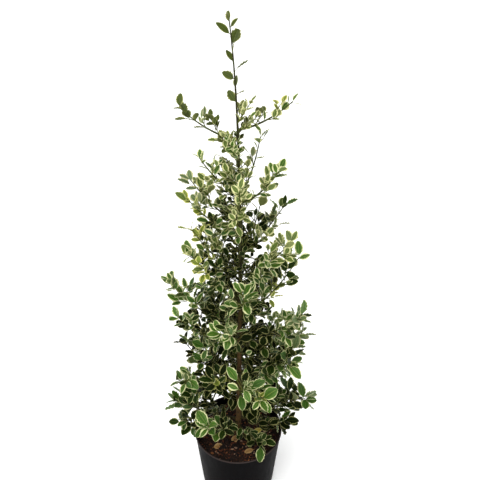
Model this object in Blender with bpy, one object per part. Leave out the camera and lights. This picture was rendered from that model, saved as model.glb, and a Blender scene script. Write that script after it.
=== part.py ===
"""A young variegated holly, grown as a slender tree in a black nursery pot.

Metres, +Z up. The origin is the middle of the pot's flat underside. Heads are degrees round the trunk,
anticlockwise seen from above, with 0 along +X and 270 towards the front.
"""

import math
import random

import bmesh
import bpy
import numpy as np
from mathutils import Matrix, Vector
from mathutils.bvhtree import BVHTree

MM = 0.001
UP = Vector((0, 0, 1))
CLEARANCE = 0.3 * MM  # between solids that touch on the real plant

# The pot: a 7.5 litre nursery pot, whose side runs straight from a small lip down to a bevelled foot.
POT_HEIGHT = 200 * MM
POT_RIM_RADIUS = 122.5 * MM
LIP_HEIGHT = 5 * MM
SIDE_TOP_RADIUS = 120.5 * MM
SIDE_FOOT_RADIUS = 103 * MM
BEVEL_HEIGHT = 10 * MM
FOOT_RADIUS = 97 * MM
POT_WALL = 2.2 * MM
POT_SIDES = 36
DRAIN_HOLES = 6
DRAIN_RADIUS = 7 * MM
DRAIN_SIDES = 8
DRAIN_RING_RADIUS = 72 * MM

# The compost, a little below the rim and mounded towards the trunk.
COMPOST_BELOW_RIM = 24 * MM
COMPOST_MOUND = 4 * MM
COMPOST_LUMP = 1.8 * MM
COMPOST_RINGS = 4
TRUNK_SEAT_RADIUS = 14 * MM

# The trunk, from its flat cut at the compost to where the leading shoot takes over.
GROUND = POT_HEIGHT - COMPOST_BELOW_RIM + COMPOST_MOUND + CLEARANCE
TREE_TOP = 1.310
TRUNK_TOP = 1.110
TRUNK_FOOT_RADIUS = 7.5 * MM
TRUNK_TIP_RADIUS = 1.2 * MM
ROOT_FLARE = 3.5 * MM
FLARE_FADE = 14 * MM
TRUNK_SIDES = 9
TRUNK_RINGS = 17
MID_SWAY = 6 * MM
TIP_LEAN = 15 * MM
DEPTH_SWAY = 5 * MM

# The limbs that show at the sides and in front: head, height of the fork, reach from the axis, height of the tip.
SHOWN_LIMBS = (
    (192, 0.218, 0.160, 0.256),
    (170, 0.232, 0.176, 0.272),
    (198, 0.350, 0.160, 0.430),
    (166, 0.365, 0.145, 0.486),
    (200, 0.505, 0.150, 0.636),
    (180, 0.558, 0.160, 0.705),
    (202, 0.692, 0.113, 0.808),
    (162, 0.728, 0.114, 0.830),
    (200, 0.846, 0.114, 0.950),
    (160, 0.868, 0.112, 0.956),
    (206, 0.952, 0.087, 1.045),
    (179, 1.070, 0.118, 1.138),
    (346, 0.238, 0.139, 0.264),
    (6, 0.250, 0.183, 0.300),
    (16, 0.384, 0.174, 0.501),
    (340, 0.408, 0.144, 0.510),
    (344, 0.520, 0.160, 0.636),
    (4, 0.605, 0.145, 0.768),
    (340, 0.725, 0.126, 0.845),
    (22, 0.792, 0.117, 0.890),
    (342, 0.922, 0.093, 1.012),
    (2, 1.092, 0.112, 1.149),
    (228, 0.226, 0.116, 0.294),
    (307, 0.212, 0.102, 0.218),
    (300, 0.325, 0.112, 0.420),
    (236, 0.380, 0.100, 0.458),
    (258, 0.540, 0.108, 0.642),
)
# The limbs between them, most of them at the back, by a rule.
RULE_LIMBS = 13
BACK = 90
BACK_FAN = 38
FRONT = 277
RULE_LOWEST_TIP = 0.300
RULE_HIGHEST_TIP = 1.055
RULE_REACH_LOW = 150 * MM
RULE_REACH_HIGH = 70 * MM
RULE_RISE_LOW = 70 * MM
RULE_RISE_HIGH = 110 * MM

# Boughs, shoots, twigs and leaves.
BOUGHS_BELOW = 0.51  # a limb that forks lower than this and reaches far has a bare bough
BOUGH_REACH = 110 * MM
BARE_SHARE = 0.26  # how much of such a limb is bare
BOUGH_SIDES = 5
BOUGH_ROOT_RADIUS = 3.4 * MM
BOUGH_TIP_RADIUS = 2.4 * MM
SHOOT_ROOT_RADIUS = 2.6 * MM
TWIG_RADIUS = 1.15 * MM
TIP_RADIUS = 1.0 * MM
ROOT_DEPTH = 0.25 * MM  # how far past its twig's middle a leaf's root is sunk
LIMB_WIGGLE = 5 * MM
STEEP = 0.97  # the climb that only the trunk and its leading shoot have, as the sine of the angle
LIMB_SAG = 0.16  # how far a limb's middle hangs under its chord, as a share of the rise
TWIG_SIDES = 3
SIDE_TURN = 2 * math.pi / TWIG_SIDES  # leaves and side twigs grow from the twig's sides in turn
TWIG_STEP = 34 * MM  # along a shoot, from one side twig to the next
TWIG_LENGTH_SHARE = 0.84  # of the mass's leaf length
TWIG_ANGLE = math.radians(50)
TWIG_LIFT = 0.25
LEAF_STEP = 12 * MM  # along a shoot or twig, from one leaf to the next
TIP_LEAF_STEP = 4.5 * MM
LEAF_ANGLE = math.radians(60)
TIP_LEAF_ANGLE = math.radians(35)
LEAF_SWAY = math.radians(8)
OPENING = 30 * MM  # how far below a tip its leaves stand fully open and apart
LEAF_LIFT = 0.25
LEAF_LENGTH_LOW = 52 * MM
LEAF_LENGTH_HIGH = 34 * MM
LEAF_WIDTH_SHARE = 0.62
LEAF_WIDEST = 0.54
LEAF_THICK_SHARE = 0.035
LEAF_FOLD_SHARE = 0.07
LEAF_TRIES = 4
LEAF_SPACING = 15 * MM  # no two leaf middles in one mass are nearer than this
SPACE_MARGIN = 1.3 * MM  # kept clear on each side of the border between two masses
LIMB_MARGIN = 1.5 * MM
POT_MARGIN = 4 * MM
HANG_BELOW_RIM = 42 * MM  # how far leaves hang beside the pot
MOST_LEAVES_LOW = 18
MOST_LEAVES_HIGH = 12


def material(name, colour, roughness):
    """A Principled BSDF of one colour."""
    made = bpy.data.materials.new(name)
    made.use_nodes = True
    made.diffuse_color = (*colour, 1)
    shader = made.node_tree.nodes["Principled BSDF"]
    shader.inputs["Base Color"].default_value = (*colour, 1)
    shader.inputs["Roughness"].default_value = roughness
    shader.inputs["Metallic"].default_value = 0
    return made


def add_object(name, mesh, finish=None, collection=None):
    """Links a mesh as an object with its material."""
    made = bpy.data.objects.new(name, mesh)
    (collection or bpy.context.scene.collection).objects.link(made)
    if finish:
        mesh.materials.append(finish)
    return made


def mesh_of(name, points, faces):
    mesh = bpy.data.meshes.new(name)
    mesh.from_pydata(points, [], faces)
    return mesh


# ---------------------------------------------------------------- pot and compost


def turned(name, profile):
    """A closed solid turned about the Z axis from (radius, height) points, which start and end on the axis."""
    work = bmesh.new()
    points = [work.verts.new((radius, 0, height)) for radius, height in profile]
    edges = [work.edges.new(pair) for pair in zip(points, points[1:])]
    bmesh.ops.spin(
        work,
        geom=points + edges,
        axis=UP,
        cent=(0, 0, 0),
        steps=POT_SIDES,
        angle=2 * math.pi,
        use_merge=True,
    )
    bmesh.ops.remove_doubles(work, verts=work.verts, dist=0.01 * MM)
    bmesh.ops.recalc_face_normals(work, faces=work.faces)
    mesh = bpy.data.meshes.new(name)
    work.to_mesh(mesh)
    work.free()
    return mesh


INNER_HEIGHTS = (POT_WALL, BEVEL_HEIGHT, POT_HEIGHT)
INNER_RADII = (FOOT_RADIUS - POT_WALL / 2, SIDE_FOOT_RADIUS - POT_WALL, SIDE_TOP_RADIUS - POT_WALL)


def inner_radius(height):
    """The radius of the pot's inside wall at a height over its underside."""
    return float(np.interp(height, INNER_HEIGHTS, INNER_RADII))


def make_drain_cutters():
    """A round cutter for each hole through the floor of the pot."""
    cutters = bpy.data.collections.new("drain_holes")
    for number in range(DRAIN_HOLES):
        turn = 2 * math.pi * (number + 0.5) / DRAIN_HOLES
        middle = Vector((math.cos(turn), math.sin(turn), 0)) * DRAIN_RING_RADIUS
        ends = [middle - UP * 3 * POT_WALL, middle + UP * 3 * POT_WALL]
        add_object("drain_hole", tube("drain_hole", ends, [DRAIN_RADIUS] * 2, DRAIN_SIDES), None, cutters)
    return cutters


def make_pot(finish):
    """The pot: a flat foot with a bevel, a tapered side, a lip round the mouth, and drain holes in the floor."""
    inside = list(zip(INNER_RADII, INNER_HEIGHTS))
    profile = [
        (0, 0),
        (FOOT_RADIUS, 0),
        (SIDE_FOOT_RADIUS, BEVEL_HEIGHT),
        (SIDE_TOP_RADIUS, POT_HEIGHT - LIP_HEIGHT),
        (POT_RIM_RADIUS, POT_HEIGHT - LIP_HEIGHT + POT_WALL / 2),
        (POT_RIM_RADIUS, POT_HEIGHT - POT_WALL / 2),
        (POT_RIM_RADIUS - POT_WALL / 2, POT_HEIGHT),
        *reversed(inside),
        (0, POT_WALL),
    ]
    pot = add_object("pot", turned("pot", profile), finish)
    apply_boolean(pot, make_drain_cutters(), "DIFFERENCE")
    return pot


def make_compost(finish):
    """The compost: it fills the pot, clear of its wall, with a lumpy top and a level seat for the trunk."""
    rng = random.Random(7)
    edge_height = POT_HEIGHT - COMPOST_BELOW_RIM
    seat_height = GROUND - CLEARANCE
    side = [
        (inner_radius(height) - 1.5 * CLEARANCE, height)
        for height in (POT_WALL + CLEARANCE, BEVEL_HEIGHT, edge_height)
    ]
    edge_radius = side[-1][0]
    top = [
        (edge_radius + (TRUNK_SEAT_RADIUS - edge_radius) * share, edge_height + COMPOST_MOUND * share)
        for share in np.linspace(0, 1, COMPOST_RINGS + 1)[1:]
    ]
    mesh = turned("compost", [(0, POT_WALL + CLEARANCE), *side, *top, (0, seat_height)])
    for point in mesh.vertices:
        radius = math.hypot(point.co.x, point.co.y)
        if point.co.z > edge_height and TRUNK_SEAT_RADIUS + MM < radius < edge_radius - MM:
            point.co.z += rng.uniform(-1, 1) * COMPOST_LUMP
    return add_object("compost", mesh, finish)


# ---------------------------------------------------------------- trunk and limbs


def trunk_middle(height):
    """The trunk's centreline: a slight sway, and a lean to the left in its last stretch."""
    share = (height - GROUND) / (TREE_TOP - GROUND)
    aside = MID_SWAY * math.sin(math.pi * share) - TIP_LEAN * share**8
    return Vector((aside, DEPTH_SWAY * math.sin(2 * math.pi * share), height))


def trunk_radius(height):
    share = (height - GROUND) / (TREE_TOP - GROUND)
    flare = ROOT_FLARE * math.exp(-(height - GROUND) / FLARE_FADE)
    return TRUNK_TIP_RADIUS + (TRUNK_FOOT_RADIUS - TRUNK_TIP_RADIUS) * (1 - share) + flare


def all_limbs():
    """Every limb's (head, fork, reach, tip): those that show, then those that the rule spaces between them."""
    rng = random.Random(11)
    limbs = list(SHOWN_LIMBS)
    for number in range(RULE_LIMBS):
        share = number / (RULE_LIMBS - 1)
        middle = FRONT if number % 4 == 3 else BACK + BACK_FAN * (number % 3 - 1)
        rise = RULE_RISE_LOW + (RULE_RISE_HIGH - RULE_RISE_LOW) * share
        reach = RULE_REACH_LOW + (RULE_REACH_HIGH - RULE_REACH_LOW) * share**1.5
        tip = RULE_LOWEST_TIP + (RULE_HIGHEST_TIP - RULE_LOWEST_TIP) * share
        limbs.append((middle + rng.uniform(-9, 9), tip - rise, reach, tip))
    return limbs


def has_bough(limb):
    head, fork, reach, tip = limb
    return fork < BOUGHS_BELOW and reach >= BOUGH_REACH


def limb_path(number, limb, radius, sides):
    """A smooth curve from the trunk's bark to the limb's tip, as a function of the share of its length.
    The limb's foot, a flat cut with a radius and a number of sides, stands just clear of the bark."""
    head, fork, reach, tip = limb
    rng = random.Random(100 + number)
    out = Vector((math.cos(math.radians(head)), math.sin(math.radians(head)), 0))
    side = Vector((-out.y, out.x, 0))
    middle = trunk_middle(fork)
    start = middle + out * trunk_radius(fork)
    end = out * reach + UP * tip
    knee = (start + end) / 2 - UP * LIMB_SAG * 2 * (tip - fork) + side * rng.uniform(-1, 1) * LIMB_WIGGLE
    for _ in range(3):
        foot = ring(start, (knee - start).normalized(), radius, sides)
        foot += [(a + b) / 2 for a, b in zip(foot, foot[1:] + foot[:1])]
        nearest = min((point - middle).xy.length for point in foot)
        start += out * (trunk_radius(fork) + 1.5 * CLEARANCE - nearest)

    def at(share):
        return (1 - share) ** 2 * start + 2 * share * (1 - share) * knee + share**2 * end

    return at


def stretch(at, first, last, steps):
    """Points along a path from one share of it to another."""
    return [at(first + (last - first) * step / steps) for step in range(steps + 1)]


def directions(points):
    """The unit direction of travel at each point of a path."""
    ahead = [(b - a).normalized() for a, b in zip(points, points[1:])]
    between = [(a + b).normalized() for a, b in zip(ahead, ahead[1:])]
    return [ahead[0], *between, ahead[-1]]


def across(direction):
    """Two unit vectors square to a direction and to each other."""
    helper = Vector((1, 0, 0)) if abs(direction.z) > STEEP else UP
    first = direction.cross(helper).normalized()
    return first, first.cross(direction).normalized()


def spoke(direction, turn):
    """A unit vector square to a direction, at an angle round it."""
    first, second = across(direction)
    return first * math.cos(turn) + second * math.sin(turn)


def ring(point, direction, radius, sides):
    """The corners of a tube's cross-section."""
    return [point + spoke(direction, 2 * math.pi * side / sides) * radius for side in range(sides)]


def tube(name, points, radii, sides):
    """A closed tube with flat ends through the points."""
    corners = []
    for point, direction, radius in zip(points, directions(points), radii):
        corners += ring(point, direction, radius, sides)
    faces = [
        (low + side, low + (side + 1) % sides, low + sides + (side + 1) % sides, low + sides + side)
        for low in range(0, len(corners) - sides, sides)
        for side in range(sides)
    ]
    faces += [tuple(range(sides)), tuple(range(len(corners) - sides, len(corners)))]
    mesh = mesh_of(name, corners, faces)
    work = bmesh.new()
    work.from_mesh(mesh)
    bmesh.ops.recalc_face_normals(work, faces=work.faces)
    work.to_mesh(mesh)
    work.free()
    return mesh


def make_trunk(finish):
    near_ground = [GROUND + FLARE_FADE * step for step in (0, 0.4, 1, 2)]
    heights = near_ground + list(np.linspace(GROUND + 5 * FLARE_FADE, TRUNK_TOP, TRUNK_RINGS))
    points = [trunk_middle(height) for height in heights]
    mesh = tube("trunk", points, [trunk_radius(height) for height in heights], TRUNK_SIDES)
    for corner in mesh.vertices[:TRUNK_SIDES]:
        corner.co.z = GROUND
    return add_object("trunk", mesh, finish)


# ---------------------------------------------------------------- the space that each mass keeps to


def segments(paths):
    """The start, end and path number of every segment of some paths."""
    rows = [(a, b, number) for number, path in enumerate(paths) for a, b in zip(path, path[1:])]
    return np.array([row[0] for row in rows]), np.array([row[1] for row in rows]), np.array([row[2] for row in rows])


def distances(points, starts, ends):
    """The distance from each point to each segment."""
    along = ends - starts
    offset = points[:, None, :] - starts
    share = np.clip((offset * along).sum(2) / (along * along).sum(1), 0, 1)
    return np.linalg.norm(offset - share[..., None] * along, axis=2)


class Spaces:
    """Each mass owns the points that are nearer to its own stem than to any other mass's stem."""

    def __init__(self, stems, limbs):
        self.starts, self.ends, self.owners = segments(stems)
        self.limb_starts, self.limb_ends, numbers = segments([path for path, _ in limbs])
        self.limb_radii = np.array([limbs[number][1] for number in numbers])

    def free(self, owner, points):
        """True if every point lies in the owner's space and clear of the limbs, pot and compost."""
        points = np.array(points)
        gaps = distances(points, self.starts, self.ends)
        own = self.owners == owner
        if (gaps[:, own].min(1) + 2 * SPACE_MARGIN > gaps[:, ~own].min(1)).any():
            return False
        limb_gaps = distances(points, self.limb_starts, self.limb_ends) - self.limb_radii
        if (limb_gaps < LIMB_MARGIN).any():
            return False
        radius, height = np.hypot(points[:, 0], points[:, 1]), points[:, 2]
        beside_pot = (radius > POT_RIM_RADIUS + POT_MARGIN) & (height > POT_HEIGHT - HANG_BELOW_RIM)
        over_compost = (radius < POT_RIM_RADIUS - 3 * POT_MARGIN) & (height > GROUND + POT_MARGIN)
        over_rim = height > POT_HEIGHT + POT_MARGIN
        return bool((beside_pot | over_compost | over_rim).all())


# ---------------------------------------------------------------- leaves and twigs


def leaf_corners(root, along, face, length):
    """A thin folded blade's corners: root, side, tip, other side, and the top of the midrib."""
    side = along.cross(face).normalized() * length * LEAF_WIDTH_SHARE / 2
    middle = root + along * length * LEAF_WIDEST
    edge = middle + face * length * LEAF_FOLD_SHARE
    rib = middle + face * length * LEAF_THICK_SHARE
    return [root, edge + side, root + along * length, edge - side, rib]


LEAF_FACES = ((0, 4, 1), (1, 4, 2), (2, 4, 3), (3, 4, 0), (0, 1, 2), (0, 2, 3))


def edge_samples(corners):
    """A leaf's corners and the middles of its edges, leaving out its root."""
    root, left, tip, right, top = corners
    middles = [(root + left) / 2, (root + right) / 2, (left + tip) / 2, (right + tip) / 2]
    return [left, tip, right, top, *middles]


def leaf_pose(direction, turn, angle, rng):
    """Where a leaf points and where its upper side faces: out from the twig, and lifted towards the light."""
    lean = angle + rng.uniform(-LEAF_SWAY, LEAF_SWAY)
    along = direction * math.cos(lean) + spoke(direction, turn) * math.sin(lean) + UP * LEAF_LIFT
    along.normalize()
    face = UP * 0.9 + direction * 0.5 + Vector([rng.uniform(-0.35, 0.35) for _ in range(3)])
    return along, (face - along * face.dot(along)).normalized()


def path_length(path):
    return sum((b - a).length for a, b in zip(path, path[1:]))


def along_path(path, travelled):
    """The point and the direction at a distance along a path."""
    for a, b in zip(path, path[1:]):
        length = (b - a).length
        if travelled <= length:
            break
        travelled -= length
    direction = (b - a).normalized()
    return a + direction * min(travelled, length), direction


def grow_twigs(owner, path, spaces, twig_length, rng):
    """The side twigs of a stem, each from the next side of it, and shortened where it would leave the space."""
    twigs = []
    turn = SIDE_TURN * (rng.randrange(TWIG_SIDES) + 0.5)
    travelled = TWIG_STEP * 0.5
    while travelled < path_length(path) - TWIG_STEP * 0.6:
        root, direction = along_path(path, travelled)
        turn += SIDE_TURN
        ahead = direction * math.cos(TWIG_ANGLE) + spoke(direction, turn) * math.sin(TWIG_ANGLE) + UP * TWIG_LIFT
        ahead.normalize()
        for share in (1, 0.75, 0.5):
            tip = root + ahead * twig_length * share * rng.uniform(0.85, 1.1)
            if spaces.free(owner, [root.lerp(tip, along) for along in (0.5, 0.75, 1)]):
                twigs.append([root, tip])
                break
        travelled += TWIG_STEP * rng.uniform(0.85, 1.15)
    return twigs


def leaf_places(number, stem, rng):
    """Where leaves grow on a stem, from its tip down: (distance from the tip, turn, angle, root, direction,
    number of the stem). They stand closer and point further forward towards the tip."""
    length = path_length(stem)
    turn = SIDE_TURN * (rng.randrange(TWIG_SIDES) + 0.5)
    below = 1.5 * MM
    while below < length - LEAF_STEP / 2:
        openness = min(1, below / OPENING)
        root, direction = along_path(stem, length - below)
        yield below, turn, TIP_LEAF_ANGLE + (LEAF_ANGLE - TIP_LEAF_ANGLE) * openness, root, direction, number
        turn += SIDE_TURN
        below += (TIP_LEAF_STEP + (LEAF_STEP - TIP_LEAF_STEP) * openness) * rng.uniform(0.85, 1.15)


def solid_of(mesh):
    return BVHTree.FromPolygons([corner.co for corner in mesh.vertices], [face.vertices for face in mesh.polygons])


def grow(owner, path, spaces, leaf_length, most_leaves, has_twigs):
    """One mass, by a seeded rule: side twigs from its stem, then leaves on all of them, the tips' leaves first.
    A leaf that would leave the mass's space, or cross another leaf or twig, is turned a little, and then skipped."""
    rng = random.Random(500 + owner)
    stems = [path]
    if has_twigs:
        stems += grow_twigs(owner, path, spaces, TWIG_LENGTH_SHARE * leaf_length, rng)
    stem_solids = [solid_of(stem_mesh(number, stem)) for number, stem in enumerate(stems)]
    places = [place for number, stem in enumerate(stems) for place in leaf_places(number, stem, rng)]
    tip_places = [place for place in places if place[0] < OPENING / 3]
    open_places = [place for place in places if place[0] >= OPENING / 3]
    rng.shuffle(open_places)
    leaves, middles, leaf_solids = [], [], []
    for below, turn, angle, root, direction, number in tip_places + open_places:
        if len(leaves) == most_leaves:
            break
        others = [solid for other, solid in enumerate(stem_solids) if other != number]
        for again in range(LEAF_TRIES):
            along, face = leaf_pose(direction, turn, angle, rng)
            length = leaf_length * rng.uniform(0.84, 1.1) * (1 - 0.12 * again)
            corners = leaf_corners(root - along * ROOT_DEPTH, along, face, length)
            middle = (corners[1] + corners[3]) / 2
            if any((middle - other).length < LEAF_SPACING for other in middles):
                continue
            if not spaces.free(owner, edge_samples(corners)):
                continue
            solid = BVHTree.FromPolygons(corners, LEAF_FACES)
            if any(solid.overlap(other) for other in leaf_solids + others):
                continue
            leaves.append(corners)
            middles.append(middle)
            leaf_solids.append(solid)
            break
    return stems, leaves


def tapered(first, last, path):
    return np.linspace(first, last, len(path))


def stem_mesh(number, stem):
    """A mass's stem, which is its number 0, or one of the side twigs."""
    root_radius = TWIG_RADIUS if number else SHOOT_ROOT_RADIUS
    return tube("stem", stem, tapered(root_radius, TIP_RADIUS, stem), TWIG_SIDES)


# ---------------------------------------------------------------- joining


def apply_boolean(base, others, operation):
    """Applies one Boolean of a collection to the base object, and removes the collection's objects."""
    bpy.context.scene.collection.children.link(others)
    step = base.modifiers.new("join", "BOOLEAN")
    step.operation = operation
    step.operand_type = "COLLECTION"
    step.collection = others
    step.solver = "EXACT"
    bpy.context.view_layer.update()
    joined = bpy.data.meshes.new_from_object(base.evaluated_get(bpy.context.evaluated_depsgraph_get()))
    base.modifiers.clear()
    base.data = joined
    for other in list(others.objects):
        bpy.data.objects.remove(other)
    bpy.data.collections.remove(others)


def keep_main_body(mesh):
    """Drops loose scraps and sealed hollows: only the largest connected surface stays."""
    work = bmesh.new()
    work.from_mesh(mesh)
    unseen = set(work.faces)
    bodies = []
    while unseen:
        body, waiting = [], [unseen.pop()]
        while waiting:
            face = waiting.pop()
            body.append(face)
            near = {other for edge in face.edges for other in edge.link_faces} & unseen
            unseen -= near
            waiting += near
        bodies.append(body)
    bodies.sort(key=len)
    scraps = [face for body in bodies[:-1] for face in body]
    bmesh.ops.delete(work, geom=scraps, context="FACES")
    work.to_mesh(mesh)
    work.free()


def make_mass(name, stems, leaves, finish):
    """One mass of foliage: the stem, its twigs and its leaves, fused into one solid. It is joined with its
    origin at the stem's foot, because coordinates near zero are the finest."""
    foot = stems[0][0]
    meshes = [stem_mesh(number, stem) for number, stem in enumerate(stems)]
    meshes += [mesh_of("leaf", corners, LEAF_FACES) for corners in leaves]
    for mesh in meshes:
        mesh.transform(Matrix.Translation(-foot))
    base = add_object(name, meshes[0], finish)
    growth = bpy.data.collections.new(name + "_growth")
    for mesh in meshes[1:]:
        add_object("growth", mesh, None, growth)
    apply_boolean(base, growth, "UNION")
    keep_main_body(base.data)
    base.location = foot


# ---------------------------------------------------------------- the plant


def main():
    for old in list(bpy.data.objects):
        bpy.data.objects.remove(old)
    black_plastic = material("black_plastic", (0.012, 0.012, 0.014), 0.45)
    bark_compost = material("bark_compost", (0.055, 0.030, 0.018), 0.95)
    bark = material("holly_bark", (0.060, 0.048, 0.030), 0.8)
    foliage = material("holly_leaf", (0.075, 0.150, 0.030), 0.35)

    make_pot(black_plastic)
    make_compost(bark_compost)
    make_trunk(bark)

    stems, boughs = [], []
    for number, limb in enumerate(all_limbs()):
        if has_bough(limb):
            at = limb_path(number, limb, BOUGH_ROOT_RADIUS, BOUGH_SIDES)
            boughs.append((number, stretch(at, 0, BARE_SHARE, 3)))
            path = stretch(at, BARE_SHARE, 1, 5)
            path[0] += (path[1] - path[0]).normalized() * CLEARANCE
        else:
            path = stretch(limb_path(number, limb, SHOOT_ROOT_RADIUS, TWIG_SIDES), 0, 1, 5)
        stems.append(path)
    leader_heights = np.linspace(TRUNK_TOP + CLEARANCE, TREE_TOP, 6)
    stems.append([trunk_middle(height) for height in leader_heights])

    trunk_heights = np.linspace(GROUND, TRUNK_TOP, 16)
    trunk = [([trunk_middle(a), trunk_middle(b)], trunk_radius(a)) for a, b in zip(trunk_heights, trunk_heights[1:])]
    spaces = Spaces(stems, trunk + [(path, BOUGH_ROOT_RADIUS) for _, path in boughs])

    for number, path in boughs:
        radii = tapered(BOUGH_ROOT_RADIUS, BOUGH_TIP_RADIUS, path)
        add_object(f"bough_{number + 1:02d}", tube("bough", path, radii, BOUGH_SIDES), bark)

    leaf_total = 0
    for owner, path in enumerate(stems):
        share = (path[-1].z - GROUND) / (TREE_TOP - GROUND)
        leaf_length = LEAF_LENGTH_LOW + (LEAF_LENGTH_HIGH - LEAF_LENGTH_LOW) * share
        most = round(MOST_LEAVES_LOW + (MOST_LEAVES_HIGH - MOST_LEAVES_LOW) * share)
        is_leader = owner == len(stems) - 1
        name = "leader_shoot" if is_leader else f"foliage_{owner + 1:02d}"
        shoots, leaves = grow(owner, path, spaces, leaf_length, most, not is_leader)
        make_mass(name, shoots, leaves, foliage)
        leaf_total += len(leaves)
    print(len(stems), "masses,", len(boughs), "boughs,", leaf_total, "leaves")


main()
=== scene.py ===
# %% [markdown]
# # A young variegated holly in its nursery pot
#
# The real plant is a slender holly: one straight trunk, upswept limbs, and stiff glossy leaves with a cream
# edge, standing in a black plastic pot of composted bark. Its measured solids come first, as a fixed frame.
# They could be dressed with textures alone, but a holly is mostly outline and gaps, so each step below grows,
# turns or scatters a finer mesh in the place of those solids. Lengths are in metres and +Z is up.

import itertools
import math
import random

import bmesh
import bpy
import numpy as np
from mathutils import Matrix, Vector, noise
from mathutils.bvhtree import BVHTree


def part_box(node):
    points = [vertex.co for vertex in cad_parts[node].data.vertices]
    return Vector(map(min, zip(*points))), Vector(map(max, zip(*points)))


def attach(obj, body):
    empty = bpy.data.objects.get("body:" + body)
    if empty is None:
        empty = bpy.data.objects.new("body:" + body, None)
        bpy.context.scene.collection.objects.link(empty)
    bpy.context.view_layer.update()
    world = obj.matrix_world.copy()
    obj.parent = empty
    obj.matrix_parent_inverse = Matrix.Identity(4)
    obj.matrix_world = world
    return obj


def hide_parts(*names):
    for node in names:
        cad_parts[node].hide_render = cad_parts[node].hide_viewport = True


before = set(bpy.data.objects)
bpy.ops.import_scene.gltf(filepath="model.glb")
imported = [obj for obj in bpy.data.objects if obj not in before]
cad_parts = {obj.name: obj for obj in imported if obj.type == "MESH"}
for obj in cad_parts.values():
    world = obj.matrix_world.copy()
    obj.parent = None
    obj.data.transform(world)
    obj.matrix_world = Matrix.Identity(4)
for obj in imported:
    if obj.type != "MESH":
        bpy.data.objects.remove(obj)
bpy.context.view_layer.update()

MM = 0.001
UP = Vector((0, 0, 1))

# %% [markdown]
# ## Colours and nodes
#
# Shaders work with linear light, while a colour given here is an sRGB hex value, so one function turns the
# one into the other. A material could be built by hand in the shader editor. Here a single helper adds a node
# with its options and sockets, which keeps every finish a short list that reads from pattern to surface.

# %% Turn hex colours to linear, and add nodes
MIX_SHARE, MIX_FROM, MIX_TO = 0, 6, 7  # a colour Mix node's sockets, which share their names with others


def linear(hex_colour):
    """An sRGB hex colour as the linear red, green, blue and alpha that a shader takes."""
    channels = [int(hex_colour[place : place + 2], 16) / 255 for place in (1, 3, 5)]
    return (*[c / 12.92 if c <= 0.04045 else ((c + 0.055) / 1.055) ** 2.4 for c in channels], 1)


def add_node(tree, kind, sockets=None, **settings):
    """Adds a shader node, sets its options, and gives each named socket a number, a hex colour or a link. A
    link comes from an output, or from another node's first live output."""
    made = tree.nodes.new("ShaderNode" + kind)
    for name, value in settings.items():
        setattr(made, name, value)
    for socket, value in (sockets or {}).items():
        if isinstance(value, bpy.types.Node):
            value = next(output for output in value.outputs if output.enabled)
        if isinstance(value, bpy.types.NodeSocket):
            tree.links.new(value, made.inputs[socket])
        else:
            made.inputs[socket].default_value = linear(value) if isinstance(value, str) else value
    return made


def start_finish(name):
    """An empty material: itself, its node tree, and the place on the object in metres."""
    made = bpy.data.materials.new(name)
    made.use_nodes = True
    tree = made.node_tree
    tree.nodes.clear()
    return made, tree, add_node(tree, "TexCoord").outputs["Object"]


def close_finish(tree, sockets):
    """The surface itself: a Principled shader with these sockets, sent to the output."""
    add_node(tree, "OutputMaterial", {"Surface": add_node(tree, "BsdfPrincipled", sockets)})


def per(size):
    """The scale that makes a pattern repeat about every so many metres."""
    return 1 / size


print("linear mid grey is", round(linear("#808080")[0], 3))

# %% [markdown]
# ## Black polypropylene for the pot
#
# Nursery pots are injection moulded from recycled polypropylene: a slightly grey black with a satin face,
# rubbed paler where pots are stacked, and dusty with dried compost near the foot. The eye reads it by its
# broad soft highlight; a paler band along the top of the lip is a painted highlight. Three noises do the rest:
# a long one for rubs, a patchy one for dust, and a fine one, drawn coarser than the real 0.1 mm grain so that
# it shows, for the moulding.

# %% Mix the pot's plastic
POT_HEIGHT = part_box("pot")[1].z
RUBS = {"Scale": per(14 * MM), "Detail": 5, "Roughness": 0.65}
RUB_STRETCH = (1, 1, 0.25)  # they run up and down
# The band at the top of the lip where a painted highlight lies.
LIP_HIGHLIGHT_BAND = {"From Min": POT_HEIGHT - 4 * MM, "From Max": POT_HEIGHT - 2 * MM, "To Max": 0.6}
DUST_PATCH = 6 * MM
DUSTY_FOOT = {"From Min": 0, "From Max": 50 * MM, "To Min": 0.15, "To Max": 0}
SATIN = {"From Min": 0.3, "From Max": 0.7, "To Min": 0.38, "To Max": 0.56}
MOULD_GRAIN = 0.8 * MM
MOULD_RELIEF = 0.1 * MM


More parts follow.
